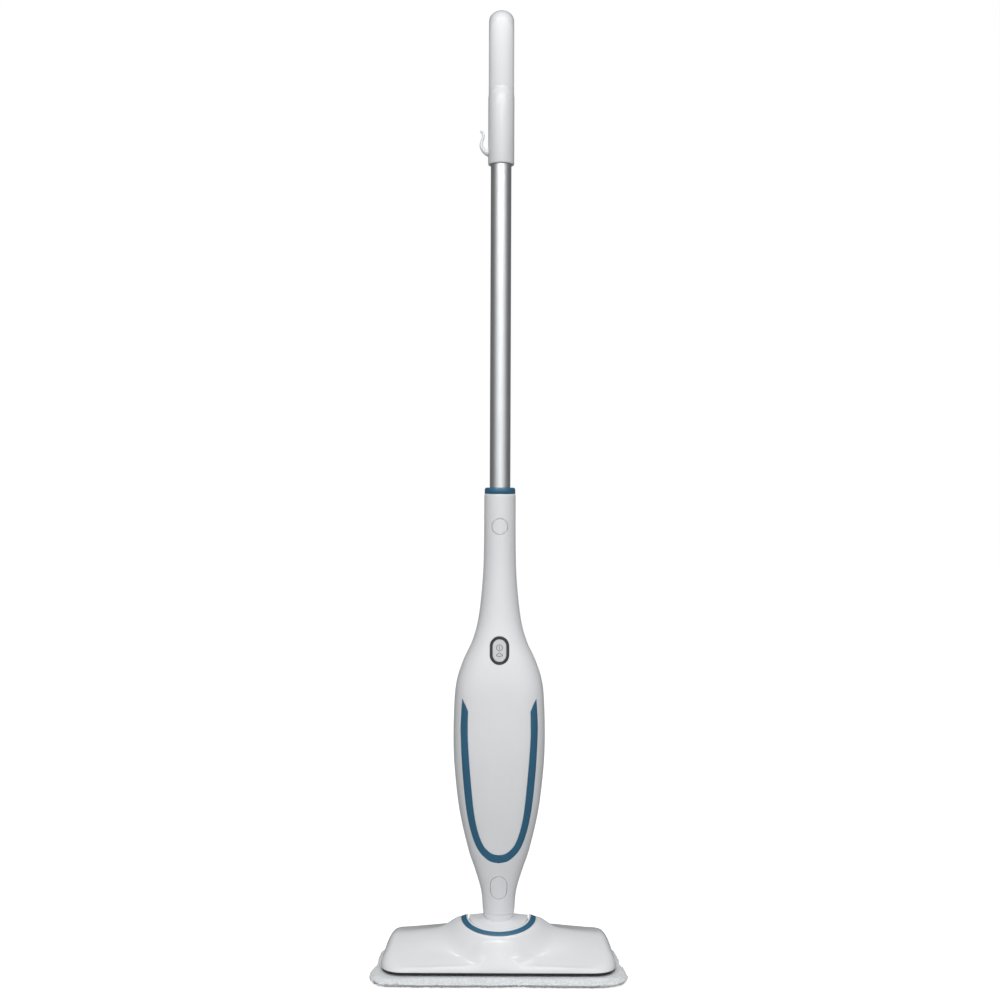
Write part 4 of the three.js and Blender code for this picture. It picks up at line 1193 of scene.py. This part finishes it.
def make_handle():
    r, low, high = SLEEVE_RADIUS, SLEEVE_LOW, SLEEVE_HIGH
    profile = [(AXIS, low), (r - 0.0009, low), (r - 0.0003, low + 0.0003), (r, low + 0.0010),
               (r, high - 0.012), (r - 0.0006, high - 0.006), (r - 0.003, high), (AXIS, high)]
    body = turned("handle_casing", profile, 128)
    join(body, loop_solid("loop"))
    seam = 0.12 * MM
    cut(body, cut(cover_room(seam), loop_solid("core", 2.6 * MM + GAP)),
        cut(insert_room(seam), loop_solid("core", 1.6 * MM + GAP)),
        rod("tube_room", "z", TUBE_RADIUS + GAP, low - 0.002, TUBE_HIGH.z + 0.002, 0, 0, 96),
        rod("screw_way", "y", 0.0022, 0.0, 0.030, 0, HOOK_SCREW_Z))
    softened(body, 0.3 * MM, 2, 40)
    place(body, "handle", WHITE, "handle_body", angle=40)

    cover = common(cut(loop_solid("handle_front_panel"), loop_solid("core", 2.6 * MM)), cover_room(0.0))
    softened(cover, 0.3 * MM, 2, 50)
    place(cover, "handle", WHITE_MATTE, "handle_front_cover", angle=40)

    insert = common(cut(loop_solid("soft_grip_pad"), loop_solid("core", 1.6 * MM)), insert_room(0.0))
    ribs = [block("rib", (-0.0065, 0.0065), (0.060, 0.0999), (z - 0.0006, z + 0.0006))
            for z in [1.073 + 0.0044 * k for k in range(11)]]
    shallow = [cut(rib, loop_solid("core", 0.6 * MM)) for rib in ribs]
    cut(insert, *shallow)
    place(insert, "handle", SOFT_GREY, "grip_insert", angle=40)


def make_clip_and_hooks():
    route = [(-13.5, 0, 987.4), (-17.0, 0, 988.0), (-21.0, 0, 990.6), (-24.0, 0, 996), (-23.4, 0, 1002),
             (-21.7, 0, 1007), (-22.4, 0, 1011.6), (-25.2, 0, 1014.4)]
    root, tip, tip_start = 2.6, 0.35, 0.94

    def taper(t):
        return 1.0 + root * (1 - t) ** 3 - tip * max(t - tip_start, 0) / (1 - tip_start)

    points = [tuple(c * MM for c in p) for p in route]
    clip = tube_along("cord_clip_hook", points, 0.0015, 10, 32, taper)
    cut(clip, rod("sleeve_room", "z", SLEEVE_RADIUS + 0.1 * MM, SLEEVE_LOW, SLEEVE_HIGH, 0, 0, 160))
    place(clip, "handle", WHITE, "cord_clip", angle=70)

    z = HOOK_SCREW_Z
    upper = rod("upper_hook", "y", 0.007, SLEEVE_RADIUS + 0.0002, SLEEVE_RADIUS + 0.004, 0, z)
    join(upper, rod("stem", "y", 0.0046, SLEEVE_RADIUS + 0.001, 0.036, 0, z),
         block("paddle", (-0.006, 0.006), (0.034, 0.038), (z - 0.006, z + 0.020), 0.0014))
    cut(upper, rod("bore", "y", 0.0022, 0.0, 0.060, 0, z))
    softened(upper, 0.4 * MM, 2, 50)
    place(upper, "handle", WHITE, "upper_cord_hook", angle=40)

    base, plate, reach, z = 0.0233, 0.044, 0.030, HOOK_Z
    lower = rod("lower_hook", "y", 0.0085, base, base + 0.0045, 0, z)
    join(lower, rod("stem", "y", 0.005, base + 0.001, plate + 0.001, 0, z),
         block("paddle", (-0.007, 0.007), (plate, plate + 0.004), (z - reach, z + 0.006), 0.0016))
    cut(lower, rod("bore", "y", 0.0027, 0.0, 0.080, 0, z))
    softened(lower, 0.4 * MM, 2, 50)
    place(lower, "cord_hook", WHITE, "lower_cord_hook", angle=40)

    make_screw("upper_hook_screw_fine", 0, HOOK_SCREW_Z, 0.040, 0.0034, "handle", "upper_hook_screw")
    make_screw("lower_hook_pin_fine", 0, HOOK_Z, plate + 0.0065, 0.0044, "body", "lower_hook_pin")


def make_pole():
    low, high = TUBE_LOW.z, TUBE_HIGH.z
    r = TUBE_RADIUS
    profile = [(r - TUBE_WALL, low), (r - 0.0003, low), (r, low + 0.0003), (r, high - 0.0003),
               (r - 0.0003, high), (r - TUBE_WALL, high)]
    tube = turned("pole_tube", profile, 160)
    cut(tube, rod("pin_hole", "y", 0.004, -0.020, 0.0, 0, TUBE_BUTTON_Z))
    place(tube, "handle", ALUMINIUM, "tube", angle=40)

    low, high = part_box("tube_socket")
    profile = [(TUBE_RADIUS + GAP, low.z), (high.x - 0.0004, low.z), (high.x, low.z + 0.0004),
               (high.x, high.z - 0.0004), (high.x - 0.0004, high.z), (TUBE_RADIUS + GAP, high.z)]
    socket = turned("pole_socket", profile, 128)
    cut(socket, rod("window", "y", TUBE_BUTTON_HALF + 0.6 * MM, -0.030, -0.005, 0, TUBE_BUTTON_Z))
    place(socket, "body", GREY, "tube_socket", angle=40)

    inlet = rod("cord_gland", "y", 0.006, 0.020, 0.034, 0, INLET_Z)
    join(inlet, rod("flange", "y", 0.008, 0.020, 0.024, 0, INLET_Z))
    grooves = [cut(rod("groove", "y", 0.008, y, y + 0.0008, 0, INLET_Z),
                   rod("core", "y", 0.0054, y - 0.01, y + 0.01, 0, INLET_Z)) for y in (0.0305, 0.0322)]
    cut(inlet, rod("bore", "y", 0.0034, 0.010, 0.040, 0, INLET_Z), *grooves)
    softened(inlet, 0.3 * MM, 2, 50)
    place(inlet, "body", BLACK, "cord_inlet", angle=40)


make_pole()
make_handle()
make_clip_and_hooks()

# ---------------------------------------------------------------- hidden pieces that stay as they are

HIDDEN_FINISH = [
    (BLACK, ["switch_module", "thermostat", "pump", "tube_plug", "steam_nozzle"]),
    (RUBBER, ["water_hose_from_tank", "water_hose_to_boiler", "steam_hose", "tank_dock"]),
    (STEEL, ["latch_spring", "snap_pin", "snap_pin_spring", "head_screw_left", "head_screw_right"]),
    (GREY, ["hook_strip_left", "hook_strip_right"]),
    (CIRCUIT, ["circuit_board"]),
    (CASTING, ["boiler"]),
]


def finish_hidden_nodes():
    for material, nodes in HIDDEN_FINISH:
        for node in nodes:
            materials = bpy.data.objects[node].data.materials
            materials.clear()
            materials.append(material)


finish_hidden_nodes()


# ---------------------------------------------------------------- floor pad

PAD_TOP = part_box("floor_pad")[1].z
PAD_SWELL = 0.006
PAD_VOXEL = 0.005
PAD_FRAMES = 20
PAD_PRESSURE = 4.0
PAD_EDGE = 2.2 * MM
TUFT_PITCH = 0.0036
TUFT_HEIGHT = 0.0019
TUFT_SINK = 0.0007


def inflated(piece):
    """Puffs a closed mesh with the cloth simulation; no point moves further than the swell."""
    remesh = piece.modifiers.new("even", "REMESH")
    remesh.mode = "VOXEL"
    remesh.voxel_size = PAD_VOXEL
    applied(piece)
    start = np.array([v.co for v in piece.data.vertices])
    cloth = piece.modifiers.new("cloth", "CLOTH")
    cloth.settings.use_pressure = True
    cloth.settings.uniform_pressure_force = PAD_PRESSURE
    cloth.settings.effector_weights.gravity = 0.0
    cloth.settings.quality = 5
    cloth.collision_settings.use_self_collision = False
    scene = bpy.context.scene
    for step in range(1, PAD_FRAMES + 1):
        scene.frame_set(step)
    applied(piece)
    move = np.array([v.co for v in piece.data.vertices]) - start
    far = np.linalg.norm(move, axis=1, keepdims=True)
    end = start + move * np.minimum(1.0, PAD_SWELL / np.maximum(far, 1e-9))
    piece.data.vertices.foreach_set("co", end.ravel())
    piece.data.update()
    scene.frame_set(1)


def subdivided(piece):
    """Each face in four, smoothed."""
    step = piece.modifiers.new("fine", "SUBSURF")
    step.levels = 1
    applied(piece)


def fitted(piece):
    """Stretches the pad over its place in CAD, flat on the floor, with room left for the loops."""
    low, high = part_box("floor_pad")
    places = np.array([v.co for v in piece.data.vertices])
    first, last = places.min(axis=0), places.max(axis=0)
    for axis in (0, 1):
        wanted = (low[axis] + 0.5 * MM, high[axis] - 0.5 * MM)
        share = (places[:, axis] - first[axis]) / (last[axis] - first[axis])
        places[:, axis] = wanted[0] + share * (wanted[1] - wanted[0])
    middle = (first[2] + last[2]) / 2
    places[:, 2] += PAD_TOP / 2 - middle
    piece.data.vertices.foreach_set("co", places.ravel())
    piece.data.update()


def inside_plate(x, y, margin):
    """1 well inside the base plate's outline, 0 outside it."""
    share = (y - COVER["front"]) / (COVER["back"] - COVER["front"])
    side = COVER["front_half"] + (COVER["back_half"] - COVER["front_half"]) * share
    room = min(side - abs(x), y - COVER["front"], COVER["back"] - y)
    return smoothstep(room, -margin, margin)


def tuft(p):
    """The height of the terry loops at a place: tufts in slanted rows, each a little different."""
    row = Vector((p.x * 0.9 + p.y * 0.35 + p.z * 0.5, p.y * 0.9 - p.x * 0.35, p.z * 0.9)) / TUFT_PITCH
    near, _ = noise.voronoi(row)
    crown = 1 - min(near[0] * 1.25, 1.0)
    ridge = min((near[1] - near[0]) * 2.2, 1.0)
    return crown * 0.6 + ridge * 0.4 + 0.25 * noise.noise(row * 2.7)


def edge_wave(x, y):
    """How far the pad's edge wanders in or out: long waves with short ones on them."""
    long_wave = noise.noise(Vector((x * 22, y * 22, 1.7)))
    short_wave = noise.noise(Vector((x * 70, y * 70, 4.1)))
    return 0.0011 * long_wave + 0.0006 * short_wave


def make_pad():
    """Microfibre pad: puffed by the cloth simulation, pressed flat underneath, then covered in loops."""
    pad = prism("terry_floor_pad", footprint(PAD, 0.0, 160), "z", PAD_EDGE, PAD_TOP - PAD_EDGE)
    softened(pad, 2.4 * MM, 3, 50)
    inflated(pad)
    subdivided(pad)
    fitted(pad)
    subdivided(pad)
    mesh = pad.data
    normals = [v.normal.copy() for v in mesh.vertices]
    for v, normal in zip(mesh.vertices, normals):
        x, y, _ = v.co
        flat = Vector((normal.x, normal.y, 0.0))
        moved = v.co + flat * edge_wave(x, y) + normal * (TUFT_HEIGHT * tuft(v.co) - TUFT_SINK)
        ceiling = PAD_TOP + 0.0003 - 0.0005 * inside_plate(x, y, 0.004)
        floor = 0.0001 + 0.0006 * max(noise.noise(v.co * 300), 0)
        moved.z = min(max(moved.z, floor), ceiling)
        v.co = moved
    mesh.update()
    place(pad, "head", TERRY, "floor_pad", angle=80)


make_pad()
